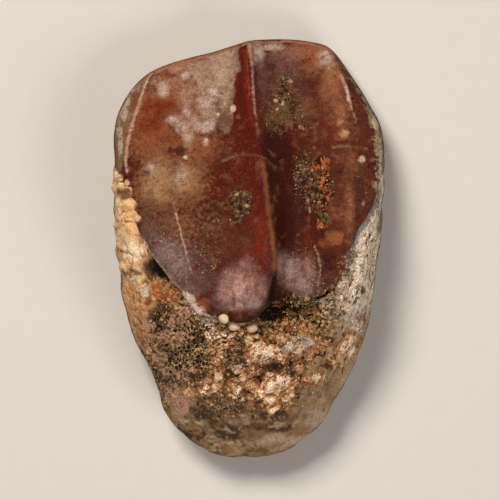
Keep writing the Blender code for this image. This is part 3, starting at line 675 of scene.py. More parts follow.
# %% Stains of the root
pink_bone = root * patches([
    (176, 338, 15, 8, 0.9), (178, 398, 16, 9, 0.9), (180, 411, 9, 5, 0.9), (149, 326, 5, 7, 0.8),
    (200, 382, 10, 7, 0.4), (147, 362, 8, 12, 0.5), (160, 358, 8, 8, 0.85), (188, 373, 13, 6, 1.0),
    (169, 371, 8, 5, 1.0), (179, 322, 10, 6, 0.75), (208, 379, 8, 5, 0.7), (171, 335, 9, 6, 1.0),
    (187, 311, 9, 6, 0.85), (176, 301, 8, 4, 0.8), (148, 343, 7, 12, 0.7),
])
towards_right = x + 0.3 * medium + 0.12 * (y + 4)
sides = np.clip(1 - faces_up, 0, 1)
plain_root = 0.5 * bare_root * faces_up * (1 - strip)
grounds = {
    "right_band": root * faces_up * ramp(5.4, 6.8, towards_right) * ramp(-6.2, -3.6, y + 0.5 * broad),
    "band_pale": right_side * faces_up * ramp(-6.5, -4.0, y) * ramp(0.0, 0.5, 0.6 * medium + 0.5 * small),
    "right_low": root * faces_up * ramp(4.8, 6.4, towards_right) * ramp(-3.4, -5.0, y + 0.5 * broad),
    "ochre": root * faces_up * ramp(-6.0, -7.0, towards_left) * ramp(-12.5, -9.5, y),
    "olive_side": olive_side,
    "blot_dark": plain_root * (1 - 0.5 * right_side) * ramp(0.0, 0.5, blots + 0.3 * small),
    "blot_pale": plain_root * ramp(0.0, -0.5, blots + 0.3 * small),
    "rust_bone": bare_root * patches([
        (149, 301, 5, 5, 0.8), (147, 283, 4, 4, 0.7), (345, 296, 5, 8, 0.6), (356, 287, 4, 5, 0.6),
        (140, 330, 5, 12, 0.5), (132, 292, 5, 8, 0.5), (360, 320, 6, 8, 0.5),
    ]),
    # Painted shade in the crevices between lumps of cream
    "crevice_shade": cream * ramp(0.24, 0.08, lump_shape + 0.3 * small + 0.12 * thick_cream) * 0.75,
    "purple_root": root * patches([(166, 318, 20, 15, 0.95), (182, 336, 18, 9, 0.5)]),
    "dark_ground": root * patches([
        (200, 345, 34, 30, 0.55), (250, 366, 14, 10, 0.4), (226, 402, 40, 16, 0.5),
        (290, 318, 30, 10, 0.7), (240, 335, 24, 10, 0.6), (180, 300, 26, 10, 0.5),
        (300, 362, 16, 8, 0.4), (320, 303, 26, 8, 0.5), (204, 410, 14, 8, 0.8), (255, 420, 16, 7, 0.4),
        (235, 352, 10, 9, 0.6), (278, 367, 10, 4, 1.0), (329, 363, 11, 6, 0.8), (297, 386, 6, 12, 0.5),
    ]),
    "pink_bone": pink_bone,
    "crumb_dark": crumbly * ramp(0.32, 0.24, crumb_chance + 0.1 * small) * 0.75,
    "crumb_light": crumbly * ramp(0.6, 0.7, crumb_chance + 0.1 * small) * 0.75,
    "crumb_orange": crumbly * ramp(0.44, 0.47, crumb_chance) * ramp(0.58, 0.55, crumb_chance) * 0.7,
    "foot_dark": foot * np.maximum(
        patches([
            (225, 422, 36, 8, 0.7), (200, 412, 18, 8, 0.8), (255, 430, 26, 6, 0.5),
            (229, 434, 13, 6, 1.0), (278, 425, 14, 7, 1.0), (186, 436, 9, 5, 0.9),
            (274, 414, 18, 6, 1.0),
        ], soft=0.8),
        0.6 * faces_up * ramp(0.1, 0.5, medium + 0.4 * broad) * ramp(2.5, 0.5, x),
    ),
    "foot_pale": foot * np.maximum(
        patches([
            (176, 420, 8, 3, 0.4), (238, 420, 10, 4, 0.8), (214, 438, 8, 4, 0.8), (284, 441, 36, 9, 0.7),
            (315, 415, 16, 20, 0.9), (235, 450, 30, 6, 0.4),
        ], soft=0.8),
        0.5 * faces_up * ramp(-0.05, -0.4, medium + 0.3 * small),
    ),
    "halo": halo * (1 - foot),
    "cream": cream,
    "white": white,
    "gaps": root * faces_up * patches([
        (278, 367, 10, 4, 1.0), (259, 399, 5, 4, 0.8), (230, 373, 7, 4, 0.9), (198, 375, 9, 4, 0.9),
        (280, 411, 8, 3, 0.9), (292, 372, 5, 4, 0.8), (302, 338, 6, 3, 0.6), (240, 350, 5, 5, 0.7),
        (264, 366, 7, 3, 0.7), (336, 315, 7, 6, 0.6), (329, 338, 6, 4, 0.8), (279, 326, 7, 4, 0.9),
        (167, 309, 6, 4, 0.8), (230, 353, 5, 6, 0.9), (304, 352, 6, 4, 0.5), (228, 362, 8, 3, 0.6),
        (239, 346, 6, 5, 1.0), (246, 328, 5, 4, 0.8), (319, 353, 7, 4, 0.8), (268, 357, 8, 3, 0.6),
        (152, 376, 5, 6, 0.5),
    ], ragged=0.6),
    # A painted highlight on the tops of the lumps of cream
    "lump_top_highlight": ramp(0.55, 0.95, cream) * ramp(0.18, 0.5, lump_shape + 0.35 * small + 0.3 * thick_cream),
    "orange": root * patches([
        (166, 291, 16, 10, 0.8), (304, 329, 10, 4, 0.9), (312, 308, 14, 8, 0.45), (285, 325, 14, 8, 0.4),
        (252, 330, 8, 8, 0.7), (268, 358, 18, 6, 0.6), (282, 372, 14, 5, 0.4), (160, 395, 12, 12, 0.35),
        (138, 310, 10, 24, 0.3), (290, 310, 30, 6, 0.3), (148, 345, 10, 20, 0.3), (226, 345, 12, 5, 0.5),
        (318, 345, 6, 8, 0.4), (250, 400, 5, 10, 0.4),
    ]),
    "strip": strip,
    "strip_orange": strip * patches([
        (128, 214, 8, 14, 0.9), (124, 178, 4, 6, 0.6), (136, 226, 6, 6, 0.4), (132, 263, 8, 5, 0.7),
    ]),
    "strip_pale": strip * patches([
        (135, 251, 10, 11, 0.9), (120, 167, 5, 8, 0.8), (119, 208, 4, 12, 0.7), (122, 240, 5, 12, 0.4),
        (125, 182, 5, 4, 0.8),
    ]),
    "strip_brown": strip * np.maximum.reduce([
        patches([
            (132, 274, 14, 6, 0.9), (117, 214, 3, 8, 0.6), (119, 226, 3, 8, 0.4), (142, 240, 4, 5, 0.7),
        ]),
        gap_in_strip,
        0.6 * ramp(0.2, 0.02, lump_shape),
    ]),
    "soil_and_shade": soil_and_shade,
    "honeycomb": honeycomb * (1 - 0.9 * cream),
    # The pores' darkness is painted shade
    "pores": np.clip(pores, 0, 1),
    "pits": pits,
    # Painted shade where the ground lies low, and painted light where it stands high
    "low_ground_shade": coarse_ground * ramp(-0.02, -0.16, ground),
    "high_ground_light": coarse_ground * ramp(0.04, 0.24, ground),
    "foot": foot,
    "foot_deep": foot * patches([
        (229, 434, 12, 5, 0.9), (278, 425, 13, 6, 0.9), (186, 436, 8, 4, 0.8), (275, 414, 17, 5, 0.9),
        (165, 405, 6, 4, 0.7),
    ], soft=0.7),
    "granular": granular * (1 - 0.85 * cream) * (1 - 0.6 * white),
    "wall": np.clip(1 - faces_up - underneath, 0, 1),
    "streaks": np.clip(1 - faces_up + 0.5 * left_side + 0.3 * right_side, 0, 1) * ramp(0.05, 0.45, streaks),
    "pale_streaks": np.clip(1 - faces_up + 0.4 * left_side, 0, 1) * ramp(-0.15, -0.5, streaks),
    "rim_glow": ramp(0.7, 0.45, normal[:, 2] + 0.15 * medium) * ramp(0.12, 0.4, normal[:, 2] + 0.25 * medium)
    * ramp(9, 5, away_from(TOP_EDGE, photo_x, photo_y)),
    "wall_dark": sides * ramp(0.05, 0.6, broad + 0.5 * medium),
    "wall_pale": sides * ramp(0.0, -0.5, blots + 0.5 * broad) * 0.8,
    "open_holes": honeycomb * (1 - 0.9 * cream) * (1 - 0.7 * pink_bone),
    "calm": np.clip(
        foot + 0.8 * strip + 0.7 * (1 - faces_up) + 0.6 * olive_side + 0.5 * left_side + 0.3 * right_side,
        0, 1,
    ),
    "crust": crust,
    # Painted shade in the gaps between the crumbs of the crusts
    "crust_gap_shade": np.clip(crust + orange_crust, 0, 1) * ramp(0.5, 0.15, crumb_shape + 0.3 * small),
    "crust_pale": orange_crust * ramp(0.55, 0.8, crumb_chance),
    "orange_crust": orange_crust,
    "enamel": enamel,
    "underneath": underneath,
    # Pale specks: dust, and on the lobes and the low left side painted sparkle of their sheen
    "dust_and_sparkle": enamel * np.clip(0.05 + patches([
        (172, 260, 26, 30, 0.9), (300, 275, 24, 24, 0.9), (240, 285, 18, 16, 0.6), (303, 178, 10, 26, 1.0),
        (230, 170, 30, 40, 0.2), (200, 245, 30, 40, 0.3), (285, 105, 24, 30, 0.35), (355, 200, 20, 30, 0.3),
    ]), 0, 1),
    "speckled": np.clip(
        margin_band + 0.7 * right_rim + 0.3 * stains["chalky_tan"] + 0.5 * right_side + 0.3 * foot
        + 0.4 * stains["olive"] + 0.2 * stains["sandy"], 0, 1
    ),
}
for name, cover in {**stains, **lines, **grounds}.items():
    attribute = fine.attributes.new(name, "FLOAT", "POINT")
    attribute.data.foreach_set("value", np.clip(cover, 0, 1).astype(np.float32))
print(len(stains) + len(lines) + len(grounds), "maps are stored on the skin")

# %% [markdown]
# ## The finish of the tooth
#
# Enamel is nearly pure apatite, with an IOR of 1.63. Wear and water polished it, so it is glossy
# with a little haze. Root tissue is the same mineral but open and matt. One material holds both,
# because on the real thing they are one piece, and the enamel's map decides between them.

# %% Layers of the finish, from the ground up
# Map, colour, roughness, the noise that frays the map, and how much it frays it
LAYERS = [
    ("wall", "#80603f", 0.65, "marble", 0.5),
    ("wall_dark", "#5d4129", 0.7, "marble", 0.9),
    ("wall_pale", "#a98a66", 0.65, "marble", 0.9),
    ("streaks", "#6a4a2e", 0.7, "marble", 0.5),
    ("pale_streaks", "#a5835c", 0.65, "marble", 0.7),
    ("olive_side", "#9d7f5b", 0.75, "marble", 0.9),
    ("ochre", "#e6ab74", 0.6, "marble", 0.9),
    ("right_low", "#ab8e6e", 0.72, "marble", 0.8),
    ("right_band", "#e6d0b9", 0.72, "marble", 0.6),
    ("band_pale", "#f6e8d6", 0.72, "fine", 0.7),
    ("underneath", "#7d5f45", 0.55, "marble", 0.5),
    ("foot", "#957049", 0.62, "marble", 0.7),
    ("foot_dark", "#4a3320", 0.7, "marble", 1.0),
    ("foot_pale", "#b59d80", 0.62, "marble", 1.0),
    ("foot_deep", "#4f3723", 0.7, "fine", 0.9),
    ("blot_dark", "#4a3420", 0.75, "marble", 0.5),
    ("blot_pale", "#c2a27b", 0.65, "marble", 0.5),
    ("rust_bone", "#7f5333", 0.7, "marble", 0.8),
    ("purple_root", "#5e4535", 0.6, "marble", 0.8),
    ("dark_ground", "#493623", 0.85, "wisp", 0.9),
    ("crumb_dark", "#442f1c", 0.85, "fine", 0.5),
    ("crumb_light", "#d0ab7e", 0.75, "fine", 0.6),
    ("crumb_orange", "#a1623a", 0.75, "fine", 0.6),
    ("honeycomb", "#6b5137", 0.8, "crumb", 0.5),
    # Painted shade in the low ground
    ("low_ground_shade", "#2c1d11", 0.9, "fine", 0.6),
    ("pink_bone", "#bf9376", 0.7, "fine", 0.8),
    # Painted light on the high ground
    ("high_ground_light", "#caa678", 0.75, "wisp", 0.9),
    # Pores are painted near black, as the shade inside them
    ("pores", "#1d130a", 0.9, "fine", 0.3),
    ("halo", "#9a6237", 0.75, "crumb", 0.9),
    ("orange", "#ab6439", 0.7, "crumb", 0.9),
    ("white", "#cdbba5", 0.75, "fine", 0.8),
    ("cream", "#e6b083", 0.75, "fine", 0.8),
    # Painted shade in the crevices of the cream
    ("crevice_shade", "#84502a", 0.75, "fine", 0.7),
    # The painted highlight on the tops of the cream lumps
    ("lump_top_highlight", "#fbe3c3", 0.75, "fine", 0.5),
    ("gaps", "#4c331d", 0.85, "fine", 0.8),
    ("pits", "#5e4833", 0.85, "fine", 0.5),
    # Dark soil and painted shade in the notch and the hollows
    ("soil_and_shade", "#1f140b", 0.95, "fine", 0.4),
    ("grey_seam", "#83807a", 0.5, "fine", 0.9),
    ("enamel", "#4e1b0a", 0.3, "fine", 0.0),
    ("dark_red", "#571503", 0.27, "wisp", 0.3),
    ("chestnut", "#5b2c1a", 0.34, "wisp", 0.4),
    ("mulberry", "#563027", 0.34, "wisp", 0.5),
    # Dark manganese stain, and painted shade under and between the lobes
    ("near_black_and_shade", "#391009", 0.3, "wisp", 0.5),
    ("purple_brown", "#62423a", 0.4, "wisp", 0.6),
    ("brown", "#7f4e2f", 0.38, "fine", 0.6),
    ("rust", "#8f5133", 0.38, "haze", 0.5),
    ("deep_rust", "#6e2507", 0.36, "haze", 0.7),
    ("orange_tan", "#9c6243", 0.4, "haze", 0.6),
    ("chalky_tan", "#ad8d73", 0.5, "haze", 0.7),
    ("sandy", "#a67e5a", 0.48, "haze", 0.7),
    ("lilac_bloom", "#cbb0a2", 0.46, "haze", 0.6),
    ("plum_haze", "#7b5650", 0.4, "haze", 0.5),
    ("olive", "#67482d", 0.45, "fine", 0.8),
    ("brown_spot", "#452210", 0.4, "wisp", 0.8),
    ("ember", "#702104", 0.3, "wisp", 0.5),
    ("orange_patch", "#8e532c", 0.42, "wisp", 0.6),
    # Painted sheen of the lobes, the tip and the low left side
    ("painted_pink_sheen", "#b58a7f", 0.4, "haze", 0.35),
    ("painted_grey_sheen", "#967c73", 0.42, "haze", 0.35),
    ("veil_brown", "#80503a", 0.4, "wisp", 0.4),
    ("veil_plum", "#3c1613", 0.3, "wisp", 0.4),
    ("red_flank", "#6c1d0c", 0.3, "wisp", 0.5),
    ("margin_band", "#8f6b4c", 0.55, "wisp", 0.7),
    ("margin_pale", "#b9a690", 0.55, "wisp", 1.0),
    ("margin_red", "#7e4527", 0.5, "wisp", 0.9),
    ("right_rim", "#9b8260", 0.55, "fine", 0.9),
    ("rim_pale", "#c9b79c", 0.55, "fine", 0.9),
    ("rim_glow", "#a76d4a", 0.7, "marble", 0.4),
    ("keel_tan", "#7b4927", 0.42, "wisp", 0.5),
    ("keel_second", "#964635", 0.36, "fine", 0.3),
    # The painted highlight along the keel's crest
    ("keel_highlight", "#bb8a79", 0.4, "fine", 0.3),
    # A pale line with a painted highlight along each margin's crest
    ("margin_line_and_highlight", "#bd917a", 0.42, "fine", 0.3),
    ("fold_line", "#b59578", 0.42, "fine", 0.3),
    ("hairline", "#94714e", 0.4, "fine", 0.3),
    ("crack", "#33120a", 0.5, "fine", 0.3),
    # Painted shade along the lobes' lower edge
    ("lip_shade", "#35160f", 0.4, "wisp", 0.5),
    # The painted highlight on the enamel's lower edge
    ("lip_edge_highlight", "#a08f86", 0.4, "fine", 0.6),
    # Painted shade in the crease between the lobes
    ("notch_shade", "#190a05", 0.85, "fine", 0.3),
    ("crust", "#674a2d", 0.75, "crumb", 0.8),
    ("orange_crust", "#a9572a", 0.7, "crumb", 0.9),
    ("crust_pale", "#cb8c5e", 0.7, "fine", 0.6),
    # Painted shade between the crumbs of the crusts
    ("crust_gap_shade", "#251a0f", 0.85, "fine", 0.5),
    ("edge_lumps", "#d3b9a2", 0.65, "fine", 0.5),
    ("glint", "#d6b7a4", 0.4, "fine", 0.3),
    ("dots", "#cdb497", 0.5, "fine", 0.3),
    ("tan_dots", "#b58660", 0.5, "fine", 0.3),
    ("strip", "#dfb584", 0.62, "fine", 0.0),
    ("strip_orange", "#ffc88a", 0.62, "wisp", 0.7),
    ("strip_pale", "#f8deb6", 0.62, "wisp", 0.8),
    ("strip_brown", "#82593a", 0.68, "wisp", 0.7),
]
GROUND = ("#8b6a49", 0.75)  # the colour and roughness of bare root
print(len(LAYERS), "layers lie on the bare root")

# %% Noises that fray the layers
material, tree, shader = new_material("fossil_tooth_apatite")
coordinates = add_node(tree, "ShaderNodeTexCoord").outputs["Object"]
# How wide each noise's lumps are on the tooth, its detail, its roughness and its distortion
NOISES = [
    (0.9 * MM, 6.0, 0.66, 0.5),  # marbling, as wide as the fingers at the stains' borders
    (0.5 * MM, 5.0, 0.6, 0.35),  # wisps inside a stain
    (0.28 * MM, 4.0, 0.65, 0.0),  # mottling of bone and enamel
    (0.13 * MM, 1.5, 0.5, 0.0),  # specks of dust
    (0.08 * MM, 2.0, 0.5, 0.0),  # grain, the finest that shows at this scale
]
marbling, wisps, mottling, dust, grain = (
    add_node(tree, "ShaderNodeTexNoise", {
        "Vector": coordinates, "Scale": 1 / size, "Detail": detail, "Roughness": rough, "Distortion": bend,
    }).outputs[0]
    for size, detail, rough, bend in NOISES
)
# Crumbs of sediment in clumps: each has one random value all over, and the grain bends its outline
CRUMB = 0.3 * MM
CLUMP = 0.62 * MM
OUTLINE_BEND = 0.1 * MM
bent = add_node(
    tree, "ShaderNodeVectorMath", {0: grain, 1: (OUTLINE_BEND,) * 3, 2: coordinates}, operation="MULTIPLY_ADD"
).outputs[0]
crumb_value, clump_value = (
    add_node(tree, "ShaderNodeSeparateColor", {
        0: add_node(tree, "ShaderNodeTexVoronoi", {"Vector": bent, "Scale": 1 / size}).outputs["Color"],
    }).outputs[0]
    for size in (CRUMB, CLUMP)
)
crumb_mix = add_node(tree, "ShaderNodeMix", {0: 0.4, 2: crumb_value, 3: clump_value}).outputs[0]
# Each noise is centred on 0, so that it adds to a map in some places and takes from it in others
FRAYS = {
    name: add_node(tree, "ShaderNodeMapRange", {"Value": value, 1: low, 2: high, 3: -0.5, 4: 0.5}).outputs[0]
    for name, value, low, high in [
        ("marble", marbling, 0.33, 0.67), ("wisp", wisps, 0.34, 0.66), ("fine", mottling, 0.33, 0.67),
        ("crumb", crumb_mix, 0.1, 0.9), ("haze", wisps, 0.26, 0.74),
    ]
}
print(len(FRAYS), "ways to fray a layer:", ", ".join(FRAYS))

# %% Lay the stains over each other
# How soft each kind of border is, and how fast a layer fades in where its map begins
SOFTNESS = {"marble": 0.4, "wisp": 0.45, "fine": 0.35, "crumb": 0.15, "haze": 0.62}
FADE_IN = 4.0
colour, rough = linear(GROUND[0]), GROUND[1]
for name, hex_colour, roughness, fray_name, fray in LAYERS:
    cover = add_node(tree, "ShaderNodeAttribute", attribute_name=name).outputs["Fac"]
    if fray:
        frayed = add_node(
            tree, "ShaderNodeMath", {0: FRAYS[fray_name], 1: fray, 2: cover}, operation="MULTIPLY_ADD"
        ).outputs[0]
        low, high = 0.5 - SOFTNESS[fray_name], 0.5 + SOFTNESS[fray_name]
        frayed = add_node(
            tree, "ShaderNodeMapRange", {"Value": frayed, 1: low, 2: high}, interpolation_type="SMOOTHSTEP"
        ).outputs[0]
        present = add_node(
            tree, "ShaderNodeMath", {0: cover, 1: FADE_IN}, operation="MULTIPLY", use_clamp=True
        ).outputs[0]
        cover = add_node(tree, "ShaderNodeMath", {0: frayed, 1: present}, operation="MULTIPLY").outputs[0]
    colour = add_node(
        tree, "ShaderNodeMix", {0: cover, 6: colour, 7: linear(hex_colour)}, data_type="RGBA"
    ).outputs[2]
    rough = add_node(tree, "ShaderNodeMix", {0: cover, 2: rough, 3: roughness}).outputs[0]
print("with its layers the finish has", len(tree.nodes), "nodes")

# %% Specks of dust and dirt, and painted sparkle
# Where each is likely, the tops of a fine noise are pale dust, and on the lobes and the low left side painted
# sparkle of their sheen; the bottoms are dark dirt
SPECKS = [("dust_and_sparkle", "#b0927f", 0.58, 0.76), ("speckled", "#423122", 0.44, 0.28)]
for name, hex_colour, low, high in SPECKS:
    likely = add_node(tree, "ShaderNodeAttribute", attribute_name=name).outputs["Fac"]
    cover = add_node(tree, "ShaderNodeMapRange", {"Value": dust, 1: low, 2: high, 4: likely}).outputs[0]
    colour = add_node(
        tree, "ShaderNodeMix", {0: cover, 6: colour, 7: linear(hex_colour)}, data_type="RGBA"
    ).outputs[2]
print("specks of", " and ".join(colour_name for name, colour_name, low, high in SPECKS))

# %% Walls of the honeycomb, and painted shade in the gaps between crumbs
# Bone between the pores is thin and pale, and a pore is dark because hardly any light gets out of it
CELL = 0.31 * MM
PORE_COLOUR = "#22170d"
THIN_BONE_COLOUR = "#c7a478"
edges = add_node(
    tree, "ShaderNodeTexVoronoi", {"Vector": bent, "Scale": 1 / CELL}, feature="DISTANCE_TO_EDGE"
).outputs["Distance"]
granular_map, honeycomb_map, enamel_map, calm_map = (
    add_node(tree, "ShaderNodeAttribute", attribute_name=name).outputs["Fac"]
    for name in ("granular", "open_holes", "enamel", "calm")
)
# Painted shade darkens the gaps between crumbs on the granular ground
gap = add_node(tree, "ShaderNodeMapRange", {"Value": edges, 1: 0.0, 2: 0.12, 3: 0.55, 4: 1.0}).outputs[0]
gap = add_node(tree, "ShaderNodeMix", {0: granular_map, 2: 1.0, 3: gap}).outputs[0]
colour = add_node(tree, "ShaderNodeVectorMath", {0: colour, 1: gap}, operation="MULTIPLY").outputs[0]
hole = add_node(tree, "ShaderNodeMapRange", {"Value": edges, 1: 0.08, 2: 0.2}).outputs[0]
hole = add_node(tree, "ShaderNodeMath", {0: hole, 1: honeycomb_map}, operation="MULTIPLY").outputs[0]
colour = add_node(
    tree, "ShaderNodeMix", {0: hole, 6: colour, 7: linear(PORE_COLOUR)}, data_type="RGBA"
).outputs[2]
wall = add_node(tree, "ShaderNodeMapRange", {"Value": edges, 1: 0.13, 2: 0.03}).outputs[0]
wall = add_node(tree, "ShaderNodeMath", {0: wall, 1: honeycomb_map}, operation="MULTIPLY").outputs[0]
patchy = add_node(tree, "ShaderNodeMapRange", {"Value": mottling, 1: 0.4, 2: 0.6}).outputs[0]
wall = add_node(tree, "ShaderNodeMath", {0: wall, 1: patchy}, operation="MULTIPLY").outputs[0]
colour = add_node(
    tree, "ShaderNodeMix", {0: wall, 6: colour, 7: linear(THIN_BONE_COLOUR)}, data_type="RGBA"
).outputs[2]
print("cells of the honeycomb are", round(CELL / MM, 2), "mm wide")

# %% Grain, bump and gloss
# The grain has most contrast on the open ground, and least on the smooth foot and the sides
rough_ground = add_node(tree, "ShaderNodeMapRange", {"Value": calm_map, 3: 0.62, 4: 0.3}).outputs[0]
contrast = add_node(tree, "ShaderNodeMix", {0: enamel_map, 2: rough_ground, 3: 0.36}).outputs[0]
dark = add_node(tree, "ShaderNodeMath", {0: 1.0, 1: contrast}, operation="SUBTRACT").outputs[0]
light = add_node(tree, "ShaderNodeMath", {0: 1.0, 1: contrast}, operation="ADD").outputs[0]
both = add_node(tree, "ShaderNodeMath", {0: grain, 1: 2.0, 2: mottling}, operation="MULTIPLY_ADD").outputs[0]
shade = add_node(tree, "ShaderNodeMapRange", {"Value": both, 1: 1.2, 2: 1.8, 3: dark, 4: light}).outputs[0]
shaded = add_node(tree, "ShaderNodeVectorMath", {0: colour, 1: shade}, operation="MULTIPLY").outputs[0]
tree.links.new(shaded, shader.inputs["Base Color"])
# Worn enamel is polished in some places and hazed in others
haze = add_node(tree, "ShaderNodeMapRange", {"Value": wisps, 1: 0.35, 2: 0.65, 3: -0.07, 4: 0.09}).outputs[0]
rough = add_node(tree, "ShaderNodeMath", {0: rough, 1: haze}, operation="ADD").outputs[0]
tree.links.new(rough, shader.inputs["Roughness"])
ground_depth = add_node(tree, "ShaderNodeMapRange", {"Value": calm_map, 3: 0.95, 4: 0.4}).outputs[0]
depth = add_node(tree, "ShaderNodeMix", {0: enamel_map, 2: ground_depth, 3: 0.25}).outputs[0]
BUMP_DEPTH = 0.06 * MM
bump = add_node(tree, "ShaderNodeBump", {"Height": both, "Strength": depth, "Distance": BUMP_DEPTH})
tree.links.new(bump.outputs[0], shader.inputs["Normal"])
APATITE_IOR = 1.63
shader.inputs["IOR"].default_value = APATITE_IOR
fine.materials.clear()
fine.materials.append(material)
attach(tooth, "root")
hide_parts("tooth")
print("the finish is complete, with", len(tree.nodes), "nodes")

# %% [markdown]
# ## Grains
#
# Sediment is stuck in the pits of the root and in the crusts on the enamel: pale calcite sand,
# orange iron-cemented grains, golden quartz, black manganese oxide and brown crumbs of bone. Each
# kind is one mesh of many small pebbles, sunk a little into the skin. One pebble is modelled once,
# as a cube that is cut once and rounded, and is then repeated with its own size, turn and lumps.
# Its 24 faces are enough for a grain that is only a few pixels wide. The nineteen larger grains
# have a place of their own in the photograph, so they are set one by one and rounded further by
# subdivision: six cream ones under the tip and on the left, and thirteen golden nodules.

# %% One pebble
pebble = bmesh.new()
bmesh.ops.create_cube(pebble, size=2.0)
bmesh.ops.subdivide_edges(pebble, edges=pebble.edges, cuts=1, use_grid_fill=True)
for vertex in pebble.verts:
    vertex.co.normalize()
pebble_mesh = bpy.data.meshes.new("pebble")
pebble.to_mesh(pebble_mesh)
pebble.free()
pebble_points = np.array([vertex.co for vertex in pebble_mesh.vertices])
print("a pebble has", len(pebble_mesh.polygons), "faces")

# %% Many pebbles as one mesh
def pick_points(likely, number, seed):
    """Points of the skin, picked at random by how likely they are."""
    chance = np.clip(likely, 0, 1) ** 1.5
    return np.random.default_rng(seed).choice(count, number, replace=False, p=chance / chance.sum())


def grain_mesh(name, points, radii, seed, sunk=0.4, flattest=0.55, upright=False):
    """Pebbles at points of the skin, with radii in millimetres, as one mesh with a tone for each."""
    pick = np.random.default_rng(seed)
    many = bmesh.new()
    for index in points:
        many.from_mesh(pebble_mesh)
    mesh = bpy.data.meshes.new(name)
    many.to_mesh(mesh)
    many.free()
    corners = np.empty((len(points), len(pebble_points), 3))
    for grain_points, index, radius in zip(corners, points, radii):
        turn = np.linalg.qr(pick.normal(size=(3, 3)))[0]
        lumps = pebble_points * pick.uniform(0.72, 1.2, (len(pebble_points), 1))
        lumps = lumps * pick.uniform(flattest, 1.2, 3)
        outward = np.array((0, 0, 1)) if upright else normal[index]
        centre = place[index] - outward * radius * pick.uniform(sunk - 0.25, sunk + 0.25)
        grain_points[:] = centre + radius * lumps @ turn
    corners[:, :, 2] = np.maximum(corners[:, :, 2], 0)
    mesh.vertices.foreach_set("co", (corners * MM).ravel())
    tones = np.repeat(pick.random(len(points)), len(pebble_points))
    mesh.attributes.new("tone", "FLOAT", "POINT").data.foreach_set("value", tones.astype(np.float32))
    mesh.update()
    return mesh


GRAIN_SPECKLE = 0.12 * MM  # about one common grain, so that each gets a tone or two


def sizes(number, low, high, seed):
    """Radii with many small and few large."""
    return low + (high - low) * np.random.default_rng(seed).random(number) ** 2


def grain_piece(mesh, mineral, colours, roughness):
    """The grains as a piece of the tooth, in a mineral that runs through three colours."""
    material, tree, shader = new_material(mineral)
    tone = add_node(tree, "ShaderNodeAttribute", attribute_name="tone").outputs["Fac"]
    coordinates = add_node(tree, "ShaderNodeTexCoord").outputs["Object"]
    speckle = add_node(
        tree, "ShaderNodeTexNoise", {"Vector": coordinates, "Scale": 1 / GRAIN_SPECKLE, "Detail": 3.0}
    ).outputs[0]
    uneven = add_node(
        tree, "ShaderNodeMath", {0: speckle, 1: 0.9, 2: tone}, operation="MULTIPLY_ADD"
    ).outputs[0]
    ramp_node = add_node(tree, "ShaderNodeValToRGB", {0: uneven})
    ramp_node.color_ramp.elements[0].position = 0.3
    ramp_node.color_ramp.elements[1].position = 1.0
    ramp_node.color_ramp.elements.new(0.7)
    for stop, hex_colour in zip(ramp_node.color_ramp.elements, colours):
        stop.color = linear(hex_colour)
    tree.links.new(ramp_node.outputs[0], shader.inputs["Base Color"])
    gloss = add_node(
        tree, "ShaderNodeMapRange", {"Value": speckle, 1: 0.3, 2: 0.7, 3: roughness - 0.1, 4: roughness + 0.1}
    )
    tree.links.new(gloss.outputs[0], shader.inputs["Roughness"])
    mesh.materials.append(material)
    piece = bpy.data.objects.new(mesh.name, mesh)
    bpy.context.scene.collection.objects.link(piece)
    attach(piece, "root")
    print(piece.name, "has", len(mesh.polygons), "faces")
    return piece


# %% Five kinds of grain
# Each row says the piece, its mineral, how likely it is at each point of the skin, how many there
# are, the smallest and the largest radius in millimetres, three colours and the roughness
open_root = crumbly * (1 - 0.7 * np.clip(cream + white, 0, 1))
GRAINS = [
    # Broken bone is full of holes, so it is brown and dull
    (
        "brown_crumbs", "bone_fragments", open_root + 0.15 * honeycomb,
        1500, 0.06, 0.17, ("#553d27", "#8f6c47", "#c09769"), 0.75,
    ),
    # Calcite sand scatters most light, so it is the palest
    (
        "cream_grains", "calcite_sand", 0.3 * cream + white + 0.1 * open_root,
        500, 0.05, 0.14, ("#9a7452", "#c9a07a", "#e6cfb0"), 0.7,
    ),
    # Iron oxide coats these grains, which makes them rust orange and only a little less dull
    (
        "orange_grains", "iron_cemented_sand",
        grounds["orange"] + orange_crust + 0.5 * lip_sediment + 0.1 * open_root + 0.1 * pits,
        800, 0.05, 0.14, ("#6a361c", "#a05e38", "#c48f5c"), 0.65,
    ),
    # Quartz breaks with glassy faces, so these grains glint
    (
        "golden_grains", "stained_quartz", 0.8 * crust + 0.6 * lip_sediment + 0.2 * open_root,
        700, 0.04, 0.09, ("#533a22", "#8a6842", "#c2a070"), 0.45,
    ),
    # Manganese oxide is sooty, so it stays near black in any light
    (
        "dark_grains", "manganese_oxide",
        0.35 * crust + 0.6 * grounds["dark_ground"] + 0.4 * lip_sediment + 0.3 * pits,
        900, 0.05, 0.15, ("#20160d", "#3c2a1a", "#664e34"), 0.7,
    ),
]
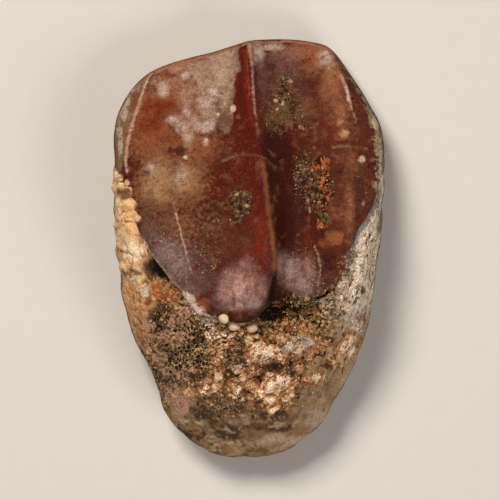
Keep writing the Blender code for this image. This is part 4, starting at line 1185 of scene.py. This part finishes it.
for seed, (name, mineral, likely, number, low, high, colours, roughness) in enumerate(GRAINS, start=1):
    mesh = grain_mesh(name, pick_points(likely, number, seed), sizes(number, low, high, seed), seed)
    grain_piece(mesh, mineral, colours, roughness)

# %% Larger rounded grains
# Each row says the piece, its mineral, the pixel and the radius in pixels of each grain, three
# colours and how deep the grains sit. Rolled grains are smooth, so both kinds shine as quartz does
LARGE_GRAINS = [
    ("rounded_grains", "calcite_pebbles", [
        (223.5, 317.4, 6.2), (234.5, 325, 6.8), (253, 326, 6.0), (257, 334, 3.4), (127.5, 184.5, 3.4),
        (138, 218.5, 4.4),
    ], ("#a37b54", "#cfa67c", "#ead0ac"), 0.2),
    ("golden_nodules", "stained_quartz_nodules", [
        (280, 76, 2.6), (286, 79, 2.4), (290, 83, 3.2), (276, 101, 2.8), (283, 98, 2.4), (288, 95, 2.2),
        (277, 109, 2.4), (268, 123, 2.6), (283, 104, 2.4), (244, 197, 2.6), (237, 196, 2.2),
        (238, 213, 2.4), (247, 206, 2.4),
    ], ("#3a2a16", "#6f5432", "#b5976a"), 0.3),
]
SEARCH_RADIUS = 0.1  # millimetres
LARGE_GRAIN_ROUGHNESS = 0.45


def top_at(px, py):
    """The highest point of the skin that a pixel of the photograph shows."""
    across = place[:, 0] - (px - ORIGIN_IN_PHOTO[0]) / PIXELS_PER_MM
    along = place[:, 1] - (ORIGIN_IN_PHOTO[1] - py) / PIXELS_PER_MM
    return int(np.argmax(np.where(np.hypot(across, along) < SEARCH_RADIUS, place[:, 2], -1)))


for seed, (name, mineral, spots, colours, sunk) in enumerate(LARGE_GRAINS, start=9):
    points = [top_at(px, py) for px, py, radius in spots]
    radii = [radius / PIXELS_PER_MM for px, py, radius in spots]
    large = grain_mesh(name, points, radii, seed, sunk, flattest=0.9, upright=True)
    large.shade_smooth()
    piece = grain_piece(large, mineral, colours, LARGE_GRAIN_ROUGHNESS)
    rounding = piece.modifiers.new("rounding", "SUBSURF")
    rounding.levels = rounding.render_levels = 2
